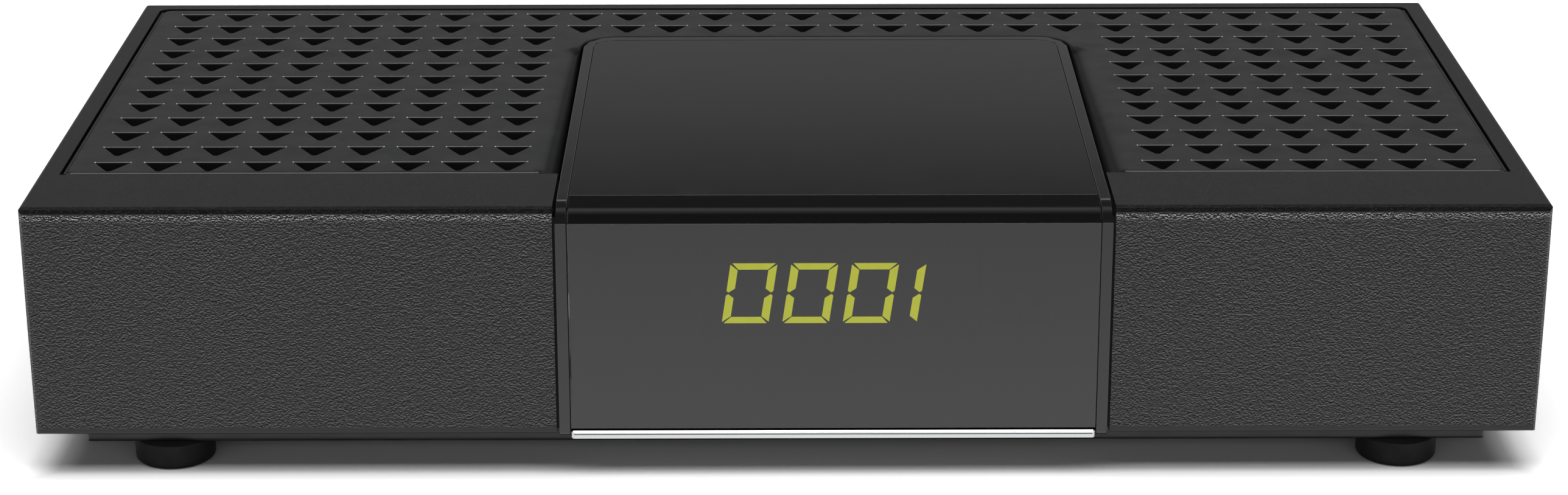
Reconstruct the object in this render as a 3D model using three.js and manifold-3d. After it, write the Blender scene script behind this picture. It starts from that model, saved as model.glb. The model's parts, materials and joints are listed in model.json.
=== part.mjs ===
// Compact satellite television receiver: a moulded shell with a perforated top insert,
// a glossy cover that wraps from the top over the front, a base tray on rubber feet,
// a rear panel of sockets, and the boards and components inside.
// Millimetres, +X to the viewer's right, +Y to the rear, +Z up. The origin is the middle
// of the whole part's bounding box, on the surface that it stands on.

import * as THREE from 'three';
import { mergeVertices } from 'three/addons/utils/BufferGeometryUtils.js';
import Module from 'manifold-3d';

const wasm = await Module();
wasm.setup();

// Overall size of the body, without what stands out at the rear
const bodyWidth = 168;
const bodyDepth = 83.6;

// Values shared by all mouldings
const wall = 2;
const fitGap = 0.3;
const overrun = 1;
const cornerSteps = 3;
const edgeSteps = 2;
const roundSides = 20;
const smallRoundSides = 10;

// Housing shell
const shellHeight = 26.5;
const sideDraft = 0.25;
const planCornerRadius = 1;
const frontEdgeRadius = 1.1;
const roofEdgeRadius = 0.4;
const lowerEdgeRadius = 0.3;
const rimFront = 12.4;
const rimSide = 2.35;
const rimBack = 2.3;
const ledgeWidth = 1.5;
const ledgeThickness = 1.5;

// Perforated grille insert
const grilleThickness = 2.6;
const grooveWidth = 0.6;
const grooveCornerRadius = 1.2;
const holeSide = 4.2;
const holeApexRadius = 0.35;
const holePitch = 5.63;
const holeMargin = 1.5;
const firstRowDepth = 16.9;
const sideColumnInset = 7.6;

// The fall of the insert beside the cover: its width and depth at the front, where it ends behind
const fallWidth = 2.1;
const fallDepth = 2;
const fallEndWidth = 1.2;
const fallEndInset = 5.5;
const fallSteps = 5;

// Glossy cover: the carrier with its side strips, and the smoked window in it
const coverCentre = 5.25;
const coverWidth = 61.1;
const coverRearInset = 16.1;
const coverBackRadius = 4;
const coverProud = 0.4;
const coverOverhang = 0.2;
const coverBottomRadius = 0.6;
const stripWidth = 1.25;
const bezelCrease = 3.9;
const noseShoulderDepth = 1.1;
const noseShoulderDrop = 0.4;
const noseShoulderRadius = 2.5;
const noseSteps = 6;
const noseDrop = 1.6;
const windowCrease = 4.7;
const windowThickness = 1.2;
const windowGap = 0.15;

// Bright trim under the window
const trimRise = 0.3;
const trimGap = 0.3;
const trimCreaseDrop = 0.4;
const trimHeight = 1.1;
const trimProud = 0.2;

// Base tray and its feet
const plinthInset = 5.1;
const plinthFront = 3;
const plinthBackInset = 2.1;
const plinthDrop = 2.3;
const plinthEdgeRadius = 0.8;
const plinthWall = 1.8;
const trayFloor = 1.5;
const flangeThickness = 1.6;
const ventSlotWidth = 2;
const ventSlotLength = 22;
const ventSlotPitch = 5;
const ventSlotCount = 6;
const ventSlotInset = 24;
const ventSlotRoundShare = 0.45;
const footHeight = 2.9;
const footRadius = 4.5;
const footInsetSide = 14.6;
const footInsetEnd = 6.4;
const footRounding = 1.1;
const footLipRadius = 0.3;

// Rear panel
const panelThickness = 2;

// Main board: its surface lies a rise above the shell's lower edge
const boardSideGap = 11;
const boardFront = 12.5;
const boardRearGap = 1.1;
const boardThickness = 1.6;
const boardRise = 3.9;
const boardHoleInset = 5;
const boardHoleRearInset = 40.5;
const boardPostRadius = 3;

// Screws: four hold the shell to the tray from below, four hold the main board
const screwRadius = 1.3;
const screwHeadRadius = 2.6;
const screwHeadHeight = 1.8;
const screwRecessRadius = 0.9;
const screwRecessDepth = 0.9;
const screwHeadRounding = 0.6;
const boardScrewLength = 5;
const caseScrewLength = 12;
const casePostRadius = 3;
const casePostTop = 6;
const casePostInsetSide = 9;
const casePostFront = 18;
const casePostRearInset = 23.6;
const casePostRib = 1.5;

// Sockets at the rear, from left to right: the spare width goes between them in these shares
const socketGapShares = [39, 44, 39, 44, 30, 30, 20];
const socketPostGap = 2;
const socketHeadroom = 2.2;
const socketReach = 0.8;

const aerialReach = 10;
const aerialRadius = 4.75;
const aerialShoulderRadius = 6;
const aerialShoulderLength = 1;
const aerialEdge = 0.6;
const aerialRecessRadius = 3.5;
const aerialRecessDepth = 0.6;
const aerialContactRadius = 0.6;
const aerialContactDepth = 6;
const nutAcrossCorners = 12.7;
const nutThickness = 2.2;
const tunerWidth = 22;
const tunerDepth = 34;
const tunerHeight = 12;
const tunerCornerRadius = 1;
const tunerLidLip = 0.5;
const tunerLidDrop = 3;
const tunerLidThickness = 0.4;

const audioWidth = 10;
const audioHeight = 12;
const audioDepth = 9;
const audioReach = 8.5;
const audioRadius = 4.15;
const audioBoreRadius = 1.65;
const audioBoreDepth = 8;
const audioEdge = 0.7;

const scartWidth = 47;
const scartDepth = 13;
const scartRimInset = 1.2;
const scartSlant = 3;
const scartGroove = 1.5;
const scartGrooveDepth = 9;
const scartCornerRadius = 1;
const contactWidth = 1;
const contactHeight = 3.4;
const contactDepth = 7;
const contactPitch = 3.81;
const contactsPerRow = 10;
const contactRowOffset = 2.5;

const hdmiWidth = 15;
const hdmiHeight = 6.2;
const hdmiDepth = 11.5;
const hdmiSkin = 0.5;
const hdmiSlant = 1.9;
const hdmiStep = 2.4;
const hdmiTongueWidth = 11;
const hdmiTongueThickness = 1;
const hdmiTongueSetback = 1.2;
const hdmiCavityDepth = 9;

const usbWidth = 13.2;
const usbHeight = 5.8;
const usbDepth = 14;
const usbSkin = 0.4;
const usbCavityDepth = 11;
const usbTongueWidth = 11.1;
const usbTongueThickness = 1.8;
const usbTongueGap = 0.7;
const usbTongueSetback = 1.4;
const socketEdgeRadius = 0.5;

const powerWidth = 9;
const powerHeight = 11;
const powerDepth = 13;
const powerNoseRadius = 4;
const powerBoreRadius = 3.15;
const powerBoreDepth = 9;
const powerPinRadius = 1;
const powerPinSetback = 1;

// Rocker switch at the rear: its body, and the rocker on two stub axles
const switchLift = 0.6;
const switchBodyWidth = 9.2;
const switchBodyHeight = 13;
const switchBodyDepth = 11;
const switchFlangeWidth = 11.2;
const switchFlangeHeight = 15;
const switchFlangeThickness = 1;
const switchFlangeRadius = 1;
const switchPivotDepth = 0.6;
const rockerWidth = 6.4;
const rockerTipRadius = 5.6;
const rockerTipRise = 2.2;
const rockerMiddleRise = 0.9;
const rockerSkirt = 3.4;
const rockerSkirtHalf = 2.4;
const rockerRestTilt = 9;
const rockerAxleRadius = 1;
const rockerAxleLength = 0.8;
const terminalWidth = 4.8;
const terminalThickness = 0.8;
const terminalLength = 6;
const terminalSpread = 4;

// Display behind the smoked window
const displayCentre = 6.15;
const displayLevel = 10.1;
const displayWidth = 30.2;
const displayHeight = 10.2;
const displayFrontSkin = 1;
const displaySkin = 0.8;
const digitCount = 4;
const digitPitch = 6.7;
const digitHeight = 6.65;
const digitWidth = 5.1;
const digitSlant = 0.16;
const digitMargin = 0.4;
const segmentWidth = 0.74;
const segmentBreak = 0.12;
const segmentCarrier = 1.5;
const displayBoardFront = 9.4;
const displayBoardLeft = -13;
const displayBoardRight = 32;
const displayBoardTopGap = 0.4;
const displayBoardBottomGap = 2.2;
const headerWidth = 16;
const headerDepth = 2.5;
const headerHeight = 5.6;
const eyeCentre = 26;
const eyeWidth = 5.8;
const eyeHeight = 7;
const eyeDepth = 3;
const eyeLensRadius = 2.4;

// Components on the main board
const sinkGap = 4;
const sinkDepthCentre = 42;
const sinkSize = 28;
const sinkBase = 2;
const sinkHeight = 12;
const finThickness = 1.2;
const finCount = 7;
const processorSize = 23;
const processorHeight = 1.7;
const chipEdge = 0.4;
const memoryGap = 11;
const memoryDepthCentre = 45;
const memoryWidth = 8;
const memoryDepth = 13.3;
const memoryHeight = 1.2;
const flashDepthCentre = 28;
const flashSize = 5.3;
const flashHeight = 1.9;
const flashLegs = 4;
const flashLegPitch = 1.27;
const flashLegWidth = 0.45;
const flashLegReach = 1.3;
const flashLegHeight = 0.9;
const crystalPitch = 16;
const crystalDepthCentre = 30;
const crystalWidth = 11;
const crystalDepth = 4.6;
const crystalHeight = 3.5;
const crystalFlange = 0.5;
const crystalRoundShare = 0.48;
const capacitorInset = 11;
const capacitorRearInset = 31.6;
const capacitorPitch = 9.5;
const capacitorCount = 3;
const capacitorRadius = 4;
const capacitorHeight = 11.5;
const capacitorNeck = 0.5;
const capacitorNeckHeight = 2;
const capacitorEdge = 0.6;
const coilInset = 31;
const coilGap = 16;
const coilPitch = 14;
const coilCount = 2;
const coilSize = 8;
const coilHeight = 4;
const coilCornerRadius = 1.5;
const coilCoreRadius = 2.6;
const coilCoreRecess = 0.4;

// Places worked out from the sizes above
const standingHeight = shellHeight + plinthDrop + footHeight;
const bodyHalf = bodyWidth / 2;
const innerHalf = bodyHalf - wall;
const frontReach = coverProud + trimProud;
const frontY = frontReach - (frontReach + bodyDepth + aerialReach) / 2;
const rearY = frontY + bodyDepth;
const panelY = rearY - panelThickness;
const seatDrop = grilleThickness + fitGap;
const roofDrop = seatDrop + ledgeThickness;
const fieldHalf = bodyHalf - rimSide;
const fieldBack = bodyDepth - rimBack;
const coverBack = bodyDepth - coverRearInset;
const fallEnd = coverBack - fallEndInset;
const coverLeft = coverCentre - coverWidth / 2;
const coverRight = coverCentre + coverWidth / 2;
const padLeft = coverLeft - fitGap - wall;
const padRight = coverRight + fitGap + wall;
const padBack = seatDrop + wall;
const coverBottom = shellHeight + coverOverhang;
const trimTop = shellHeight - trimRise;
const windowBottom = trimTop - trimGap;
const windowLeft = coverLeft + stripWidth + windowGap;
const windowRight = coverRight - stripWidth - windowGap;
const plinthHalf = bodyHalf - plinthInset;
const trayBottom = shellHeight + plinthDrop;
const flangeTop = shellHeight - flangeThickness;
const boardLevel = shellHeight - boardRise;
const boardUnderside = boardLevel + boardThickness;
const boardHalfWidth = innerHalf - boardSideGap;
const boardBack = bodyDepth - panelThickness - boardRearGap;
const caseHeadDrop = trayBottom - screwHeadHeight - fitGap;

const casePostBack = bodyDepth - casePostRearInset;
const scartHeight = boardLevel - roofDrop - socketHeadroom;
const switchLevel = (shellHeight + roofDrop + fitGap) / 2 - switchLift;

// Middles of the sockets: side by side from the left wall to the case post on the right
const socketWidths = [switchFlangeWidth, powerWidth, usbWidth, hdmiWidth, scartWidth, audioWidth, tunerWidth];
const sum = (values) => values.reduce((total, value) => total + value, 0);
const socketEnd = bodyHalf - casePostInsetSide - casePostRadius - socketPostGap;
const spareWidth = innerHalf + socketEnd - sum(socketWidths);
const [switchCentre, powerCentre, usbCentre, hdmiCentre, scartCentre, audioCentre, tunerCentre] =
  socketWidths.map((width, i) => -innerHalf + sum(socketWidths.slice(0, i)) + width / 2
    + (spareWidth * sum(socketGapShares.slice(0, i + 1))) / sum(socketGapShares));

// A depth behind the front face and a drop below the top plane, in the part's frame
const behind = (depth) => frontY + depth;
const below = (drop) => standingHeight - drop;

// An arc tangent to both sides of a corner, as points from one side to the other
function arcAtCorner(before, corner, after, radius, steps) {
  const back = before.clone().sub(corner).normalize();
  const ahead = after.clone().sub(corner).normalize();
  const halfAngle = Math.acos(THREE.MathUtils.clamp(back.dot(ahead), -1, 1)) / 2;
  const centre = back.clone().add(ahead).setLength(radius / Math.sin(halfAngle)).add(corner);
  const reach = radius / Math.tan(halfAngle);
  const start = back.multiplyScalar(reach).add(corner).sub(centre);
  const end = ahead.multiplyScalar(reach).add(corner).sub(centre);
  const sweep = Math.atan2(start.cross(end), start.dot(end));
  const middle = new THREE.Vector2();
  return Array.from({ length: steps + 1 }, (_, step) =>
    start.clone().rotateAround(middle, (sweep * step) / steps).add(centre));
}

// Corners are [across, up, radius, steps]; the last two are left out at a sharp corner
function cornerPoints(corners) {
  const points = corners.map(([u, v]) => new THREE.Vector2(u, v));
  return points.flatMap((point, i) => {
    const [, , radius = 0, steps = cornerSteps] = corners[i];
    if (!radius) return [point];
    return arcAtCorner(points.at(i - 1), point, points[(i + 1) % points.length], radius, steps);
  });
}

const outline = (corners) => new THREE.Shape(cornerPoints(corners));

function rectangle(left, right, low, high, radius = 0, steps = cornerSteps) {
  const corners = [[left, low], [right, low], [right, high], [left, high]];
  return outline(corners.map((place) => [...place, radius, steps]));
}

function disc(u, v, radius, sides = smallRoundSides) {
  const angles = Array.from({ length: sides }, (_, i) => (2 * Math.PI * (i + 0.5)) / sides);
  return new THREE.Shape(angles.map((angle) =>
    new THREE.Vector2(u + radius * Math.cos(angle), v + radius * Math.sin(angle))));
}

// A closed mesh as a solid that can be joined and cut, its faces pointing out
function solid(geometry) {
  const bare = geometry.clone();
  bare.deleteAttribute('normal');
  bare.deleteAttribute('uv');
  const merged = mergeVertices(bare);
  const vertProperties = new Float32Array(merged.attributes.position.array);
  const corners = Array.from(merged.index.array);
  const faces = [];
  for (let i = 0; i < corners.length; i += 3) {
    const [a, b, c] = corners.slice(i, i + 3);
    if (a !== b && b !== c && c !== a) faces.push([a, b, c]);
  }
  const corner = (index) => new THREE.Vector3().fromArray(vertProperties, 3 * index);
  const volume = faces.reduce((sum, [a, b, c]) => sum + corner(a).dot(corner(b).cross(corner(c))), 0);
  if (volume < 0) faces.forEach((face) => face.reverse());
  const triVerts = new Uint32Array(faces.flat());
  return new wasm.Manifold(new wasm.Mesh({ numProp: 3, vertProperties, triVerts }));
}

const extruded = (shape, length) => new THREE.ExtrudeGeometry(shape, { depth: length, bevelEnabled: false });

// An outline seen from above, raised from one height to another
function prismUp(shape, low, high) {
  return solid(extruded(shape, high - low).translate(0, 0, low));
}

// An outline seen from the front, carried from front to back
function prismBack(shape, front, back) {
  return solid(extruded(shape, back - front).rotateX(Math.PI / 2).translate(0, back, 0));
}

// An outline seen from the side, as [back, up], carried from left to right
function prismAcross(shape, left, right) {
  const [x, y, z] = [new THREE.Vector3(1, 0, 0), new THREE.Vector3(0, 1, 0), new THREE.Vector3(0, 0, 1)];
  const turn = new THREE.Matrix4().makeBasis(y, z, x);
  return solid(extruded(shape, right - left).applyMatrix4(turn).translate(left, 0, 0));
}

function block(left, right, front, back, low, high) {
  const box = new THREE.BoxGeometry(right - left, back - front, high - low);
  return solid(box.translate((left + right) / 2, (front + back) / 2, (low + high) / 2));
}

// A solid between two sections with as many [across, up] points each, one behind the other
function loftBack(near, far, nearY, farY) {
  const count = near.length;
  const cap = THREE.ShapeUtils.triangulateShape(near.map(([u, v]) => new THREE.Vector2(u, v)), []);
  const sides = near.flatMap((_, i) => {
    const next = (i + 1) % count;
    return [[next, i, count + i], [next, count + i, count + next]];
  });
  const farCap = cap.map(([a, b, c]) => [count + c, count + b, count + a]);
  const points = [...near.map(([u, v]) => [u, nearY, v]), ...far.map(([u, v]) => [u, farY, v])];
  const geometry = new THREE.BufferGeometry();
  geometry.setAttribute('position', new THREE.Float32BufferAttribute(points.flat(), 3));
  geometry.setIndex([...cap, ...farCap, ...sides].flat());
  return solid(geometry);
}

// A profile of [radius, along] corners turned about an axis that points to the rear
function turnedBack(corners, x, y, z, sides = roundSides) {
  return solid(new THREE.LatheGeometry(cornerPoints(corners), sides).translate(x, y, z));
}

// The same, about an axis that points up
function turnedUp(corners, x, y, z, sides = roundSides) {
  return solid(new THREE.LatheGeometry(cornerPoints(corners), sides).rotateX(Math.PI / 2).translate(x, y, z));
}

const joined = (solids) => solids.reduce((whole, piece) => whole.add(piece));
const cutBy = (whole, cuts) => cuts.reduce((rest, cut) => rest.subtract(cut), whole);

function geometryOf(piece) {
  const { vertProperties, triVerts } = piece.getMesh();
  const geometry = new THREE.BufferGeometry();
  geometry.setAttribute('position', new THREE.BufferAttribute(vertProperties, 3));
  geometry.setIndex(new THREE.BufferAttribute(triVerts, 1));
  geometry.computeVertexNormals();
  return geometry;
}

const finish = (color, roughness, metalness = 0) =>
  new THREE.MeshStandardMaterial({ color, roughness, metalness });

const blackPlastic = finish(0x2b2b2c, 0.6);
const glossPlastic = finish(0x1c1c1e, 0.15);
const smokedAcrylic = finish(0x141416, 0.08);
const brightPlating = finish(0xdcdcdc, 0.2, 1);
const trayPlastic = finish(0x1e1f21, 0.65);
const rubber = finish(0x0d0d0e, 0.85);
const nickel = finish(0xb8b8b0, 0.3, 1);
const tinPlate = finish(0xc4c6c8, 0.35, 1);
const aluminium = finish(0x9a9ca0, 0.4, 1);
const zincSteel = finish(0xa9abad, 0.35, 1);
const boardGreen = finish(0x1d5a34, 0.5);
const socketBlack = finish(0x161616, 0.5);
const chipBlack = finish(0x1a1a1b, 0.55);
const sleeveBlack = finish(0x15151a, 0.35);
const ferrite = finish(0x3a3a3c, 0.7);
const displayGrey = finish(0x303234, 0.6);
const segmentGreen = finish(0xb5bd1c, 0.4);

const receiver = new THREE.Group();

function place(name, piece, material, x = 0, y = 0, z = 0, parent = receiver) {
  const mesh = new THREE.Mesh(piece.isBufferGeometry ? piece : geometryOf(piece), material);
  mesh.name = name;
  mesh.position.set(x, y, z);
  parent.add(mesh);
}

// Housing shell: front, sides and the frame of the top, open below and behind
function shellForm() {
  const plan = rectangle(-bodyHalf, bodyHalf, frontY, rearY, planCornerRadius);
  const side = outline([
    [rearY, below(shellHeight)],
    [rearY, below(0), roofEdgeRadius],
    [frontY, below(0), frontEdgeRadius],
    [frontY, below(shellHeight), lowerEdgeRadius],
  ]);
  const front = outline([
    [-bodyHalf + sideDraft, below(shellHeight)],
    [bodyHalf - sideDraft, below(shellHeight)],
    [bodyHalf, below(0), roofEdgeRadius],
    [-bodyHalf, below(0), roofEdgeRadius],
  ]);
  return prismUp(plan, below(shellHeight), below(0))
    .intersect(prismAcross(side, -bodyHalf, bodyHalf))
    .intersect(prismBack(front, frontY, rearY));
}

// The hollow inside, kept clear of the thicker wall that backs the glossy cover
function shellHollow() {
  const floor = below(shellHeight) - overrun;
  const hollow = block(-innerHalf, innerHalf, behind(wall), rearY + overrun, floor, below(roofDrop));
  const pad = block(padLeft, padRight, frontY, behind(padBack), below(shellHeight) + fitGap, below(0));
  const rimBackFace = behind(rimFront - wall);
  const pockets = [[-innerHalf, padLeft], [padRight, innerHalf]].map(([left, right]) =>
    block(left, right, behind(wall), rimBackFace, below(roofDrop) - overrun, below(wall)));
  return joined([hollow.subtract(pad), ...pockets]);
}

// The ledge that carries the grille: a shallow seat, and the openings inside it
function grilleSeat() {
  const [near, far] = [behind(rimFront), behind(fieldBack)];
  const seatPlan = outline([
    [-fieldHalf, near], [fieldHalf, near],
    [fieldHalf, far, grooveCornerRadius], [-fieldHalf, far, grooveCornerRadius],
  ]);
  const seat = prismUp(seatPlan, below(seatDrop), below(0) + overrun);
  const bridgeLeft = coverLeft - fallWidth - ledgeWidth;
  const bridgeRight = coverRight + fallWidth + ledgeWidth;
  const through = (left, right, front) => block(left, right, front, far - ledgeWidth,
    below(roofDrop) - overrun, below(seatDrop) + overrun);
  return joined([
    seat,
    through(-fieldHalf + ledgeWidth, bridgeLeft, near + ledgeWidth),
    through(bridgeRight, fieldHalf - ledgeWidth, near + ledgeWidth),
    through(bridgeLeft + 2 * ledgeWidth, bridgeRight - 2 * ledgeWidth, behind(coverBack + ledgeWidth)),
  ]);
}

// The recess that the cover lies in, over the front rim and down the front face
function coverSeat() {
  const [left, right] = [coverLeft - fitGap, coverRight + fitGap];
  const [front, top] = [frontY - overrun, below(0) + overrun];
  return block(left, right, front, behind(rimFront) + overrun, below(seatDrop), top)
    .add(block(left, right, front, behind(seatDrop), below(shellHeight) - overrun, top));
}

// Windows through the front for the display and the infra-red eye, a gap wider all round
function displayOpenings(front, back) {
  const opening = (centre, width, height) => block(
    centre - width / 2 - fitGap, centre + width / 2 + fitGap, front, back,
    below(displayLevel + height / 2) - fitGap, below(displayLevel - height / 2) + fitGap);
  return opening(displayCentre, displayWidth, displayHeight)
    .add(opening(eyeCentre, eyeWidth, eyeHeight));
}

const caseScrewPlaces = [-1, 1].flatMap((side) => [casePostFront, casePostBack].map((depth) =>
  ({ side, x: side * (bodyHalf - casePostInsetSide), y: behind(depth) })));

// A post for a case screw, tied to the side wall by a rib
function casePost({ side, x, y }) {
  const [low, high] = [below(flangeTop) + fitGap, below(casePostTop)];
  const wallFace = side * (innerHalf + wall / 2);
  const rib = block(Math.min(x, wallFace), Math.max(x, wallFace),
    y - casePostRib / 2, y + casePostRib / 2, low, high);
  const bore = prismUp(disc(x, y, screwRadius + fitGap),
    low - overrun, below(caseHeadDrop - caseScrewLength) + fitGap);
  return prismUp(disc(x, y, casePostRadius), low, high).add(rib).subtract(bore);
}

function housingShell() {
  const shell = cutBy(shellForm(), [
    shellHollow(), grilleSeat(), coverSeat(), displayOpenings(frontY, behind(padBack) + overrun),
  ]);
  return joined([shell, ...caseScrewPlaces.map(casePost)]);
}

// The cover's outline from above, drawn in by an inset; it runs out past the front
function coverPlan(inset) {
  const [left, right] = [coverLeft + inset, coverRight - inset];
  const front = frontY - frontReach - overrun;
  const [back, radius] = [behind(coverBack - inset), coverBackRadius - inset];
  return outline([[left, front], [right, front], [right, back, radius], [left, back, radius]]);
}

// One ventilation hole: a triangle with its rounded point to the front
function ventHole(x, base) {
  const height = holeSide * Math.sin(Math.PI / 3);
  return outline([
    [x - holeSide / 2, base],
    [x, base - height, holeApexRadius, edgeSteps],
    [x + holeSide / 2, base],
  ]);
}

const grilleHalf = fieldHalf - grooveWidth;
const grilleBack = fieldBack - grooveWidth;

// Columns run in from both sides at one pitch; what would touch the cover or the fall is left out
function ventHoles() {
  const firstColumn = bodyHalf - sideColumnInset;
  const reach = holeSide / 2 + holeMargin;
  const clearLeft = coverLeft - fallWidth - reach;
  const clearRight = coverRight + fallWidth + reach;
  const behindCover = coverBack + holeSide + holeMargin / 2;
  const rightColumns = [];
  for (let x = firstColumn; x > clearRight; x -= holePitch) rightColumns.push(x);
  const lastLeft = rightColumns.at(-1) - holeSide - fitGap;
  const holes = [];
  for (let base = firstRowDepth; base < grilleBack - holeMargin; base += holePitch) {
    for (let x = -firstColumn; x < lastLeft; x += holePitch) {
      if (x < clearLeft || base > behindCover) holes.push(ventHole(x, behind(base)));
    }
    rightColumns.forEach((x) => holes.push(ventHole(x, behind(base))));
  }
  return holes;
}

// What is cut away beside the cover: it leaves a surface that rolls over towards the cover's side on a
// quarter ellipse, and falls further the nearer it comes to the front
function fallCut(side) {
  const edge = side < 0 ? coverLeft - fitGap : coverRight + fitGap;
  const section = (width, depth) => {
    const turns = Array.from({ length: fallSteps + 1 }, (_, step) => (Math.PI / 2) * (step / fallSteps));
    const curve = turns.map((turn) => [width * (1 - Math.cos(turn)), depth * (1 - Math.sin(turn))]);
    const points = [[-overrun, depth], ...curve, [width, -overrun], [-overrun, -overrun]];
    const placed = points.map(([aside, drop]) => [edge + side * aside, below(drop)]);
    return side < 0 ? placed.reverse() : placed;
  };
  return loftBack(section(fallWidth, fallDepth), section(fallEndWidth, 0), behind(rimFront), behind(fallEnd));
}

// The perforated plate: a U around the cover, its holes, and the falls beside the cover
function grilleInsert() {
  const [near, far] = [behind(rimFront + grooveWidth), behind(grilleBack)];
  const plan = outline([
    [-grilleHalf, near], [grilleHalf, near],
    [grilleHalf, far, grooveCornerRadius], [-grilleHalf, far, grooveCornerRadius],
  ]);
  const plate = prismUp(plan, below(grilleThickness), below(0));
  const [low, high] = [below(grilleThickness) - overrun, below(0) + overrun];
  const notch = prismUp(coverPlan(-fitGap), low, high);
  const holes = joined(ventHoles().map((hole) => prismUp(hole, low, high)));
  return cutBy(plate, [notch, fallCut(-1), fallCut(1), holes]);
}

// The cover from the side: along the top, over the nose, down the front, and back inside
function wrapSection(back, crease, bottom, bottomRadius, innerDepth, innerDrop) {
  return outline([
    [behind(back), below(0)],
    [behind(crease), below(0)],
    [behind(noseShoulderDepth), below(noseShoulderDrop), noseShoulderRadius, noseSteps],
    [behind(-coverProud), below(noseDrop)],
    [behind(-coverProud), below(bottom), bottomRadius],
    [behind(innerDepth), below(bottom)],
    [behind(innerDepth), below(innerDrop)],
    [behind(back), below(innerDrop)],
  ]);
}

const windowInset = stripWidth + windowGap;
const windowBackFace = windowThickness - coverProud;

// Carrier of the cover: its side strips show, and its pocket takes the window
function centreBezel() {
  const inner = seatDrop - fitGap;
  const section = wrapSection(coverBack, bezelCrease, coverBottom, coverBottomRadius, inner, inner);
  const form = prismAcross(section, coverLeft, coverRight)
    .intersect(prismUp(coverPlan(0), below(coverBottom), below(0)));
  const pocketFloor = windowThickness + windowGap;
  const pocketFront = frontY - frontReach - overrun;
  const [low, high] = [below(coverBottom) - overrun, below(0) + overrun];
  const pocket = block(coverLeft, coverRight, pocketFront, behind(coverBack), below(pocketFloor), high)
    .add(block(coverLeft, coverRight, pocketFront, behind(windowBackFace + windowGap), low, high))
    .intersect(prismUp(coverPlan(stripWidth), low, high));
  return cutBy(form, [pocket, displayOpenings(frontY, behind(seatDrop))]);
}

// Smoked window: one sheet bent over the nose
function displayWindow() {
  const back = coverBack - windowInset;
  const section = wrapSection(back, windowCrease, windowBottom, 0, windowBackFace, windowThickness);
  return prismAcross(section, windowLeft, windowRight)
    .intersect(prismUp(coverPlan(windowInset), below(windowBottom), below(0)));
}

// Bright trim: a shallow ridge along the lower edge of the window
function brightTrim() {
  const section = outline([
    [behind(-coverProud), below(trimTop)],
    [behind(-coverProud - trimProud), below(trimTop + trimCreaseDrop)],
    [behind(-coverProud), below(trimTop + trimHeight)],
    [behind(windowBackFace), below(trimTop + trimHeight)],
    [behind(windowBackFace), below(trimTop)],
  ]);
  return prismAcross(section, windowLeft, windowRight);
}

// Base tray: a pan below the shell's edge and a flange that closes the shell from inside
function trayForm() {
  const [near, far] = [behind(plinthFront), rearY - plinthBackInset];
  const [low, seam, high] = [below(trayBottom), below(shellHeight), below(flangeTop)];
  const fromFront = outline([
    [-plinthHalf, low, plinthEdgeRadius], [plinthHalf, low, plinthEdgeRadius],
    [plinthHalf, seam], [-plinthHalf, seam],
  ]);
  const fromSide = outline([
    [near, low, plinthEdgeRadius], [far, low, plinthEdgeRadius], [far, seam], [near, seam],
  ]);
  const pan = prismBack(fromFront, near, far)
    .intersect(prismAcross(fromSide, -plinthHalf, plinthHalf))
    .intersect(prismUp(rectangle(-plinthHalf, plinthHalf, near, far, plinthEdgeRadius), low, seam));
  const flangeHalf = innerHalf - fitGap;
  const flange = block(-flangeHalf, flangeHalf, behind(wall + fitGap), panelY - fitGap, seam, high);
  const notch = block(padLeft - fitGap, padRight + fitGap,
    frontY, behind(padBack) + fitGap, seam, high + overrun);
  return pan.add(flange.subtract(notch));
}

function trayPocket() {
  const half = plinthHalf - plinthWall;
  return block(-half, half, behind(plinthFront + plinthWall), rearY - plinthBackInset - plinthWall,
    below(trayBottom - trayFloor), below(flangeTop) + overrun);
}

const boardScrewDepths = [boardFront + boardHoleInset, boardBack - boardHoleRearInset];
const boardScrewPlaces = [-1, 1].flatMap((side) => boardScrewDepths.map((depth) =>
  ({ x: side * (boardHalfWidth - boardHoleInset), y: behind(depth) })));

// Ventilation slots in two banks of the tray's floor
function traySlots() {
  const middle = behind(bodyDepth / 2);
  const [low, high] = [below(trayBottom) - overrun, below(flangeTop)];
  return [-1, 1].flatMap((side) => Array.from({ length: ventSlotCount }, (_, i) => {
    const x = side * (ventSlotInset + i * ventSlotPitch);
    const slot = rectangle(x - ventSlotWidth / 2, x + ventSlotWidth / 2,
      middle - ventSlotLength / 2, middle + ventSlotLength / 2, ventSlotRoundShare * ventSlotWidth, 1);
    return prismUp(slot, low, high);
  }));
}

function baseTray() {
  const floor = below(trayBottom - trayFloor) - trayFloor / 2;
  const posts = boardScrewPlaces.map(({ x, y }) =>
    prismUp(disc(x, y, boardPostRadius), floor, below(boardUnderside)));
  const postBores = boardScrewPlaces.map(({ x, y }) => prismUp(disc(x, y, screwRadius + fitGap),
    below(boardLevel + boardScrewLength) - fitGap, below(boardUnderside) + overrun));
  const bosses = caseScrewPlaces.map(({ x, y }) =>
    prismUp(disc(x, y, casePostRadius + plinthWall / 2), floor, below(flangeTop)));
  const bores = caseScrewPlaces.map(({ x, y }) =>
    prismUp(disc(x, y, screwRadius + fitGap), below(trayBottom) - overrun, below(flangeTop) + overrun));
  const counterbores = caseScrewPlaces.map(({ x, y }) =>
    prismUp(disc(x, y, screwHeadRadius + fitGap), below(trayBottom) - overrun, below(caseHeadDrop)));
  const tray = joined([trayForm().subtract(trayPocket()), ...posts, ...bosses]);
  return cutBy(tray, [...postBores, ...bores, ...counterbores, ...traySlots()]);
}

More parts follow.
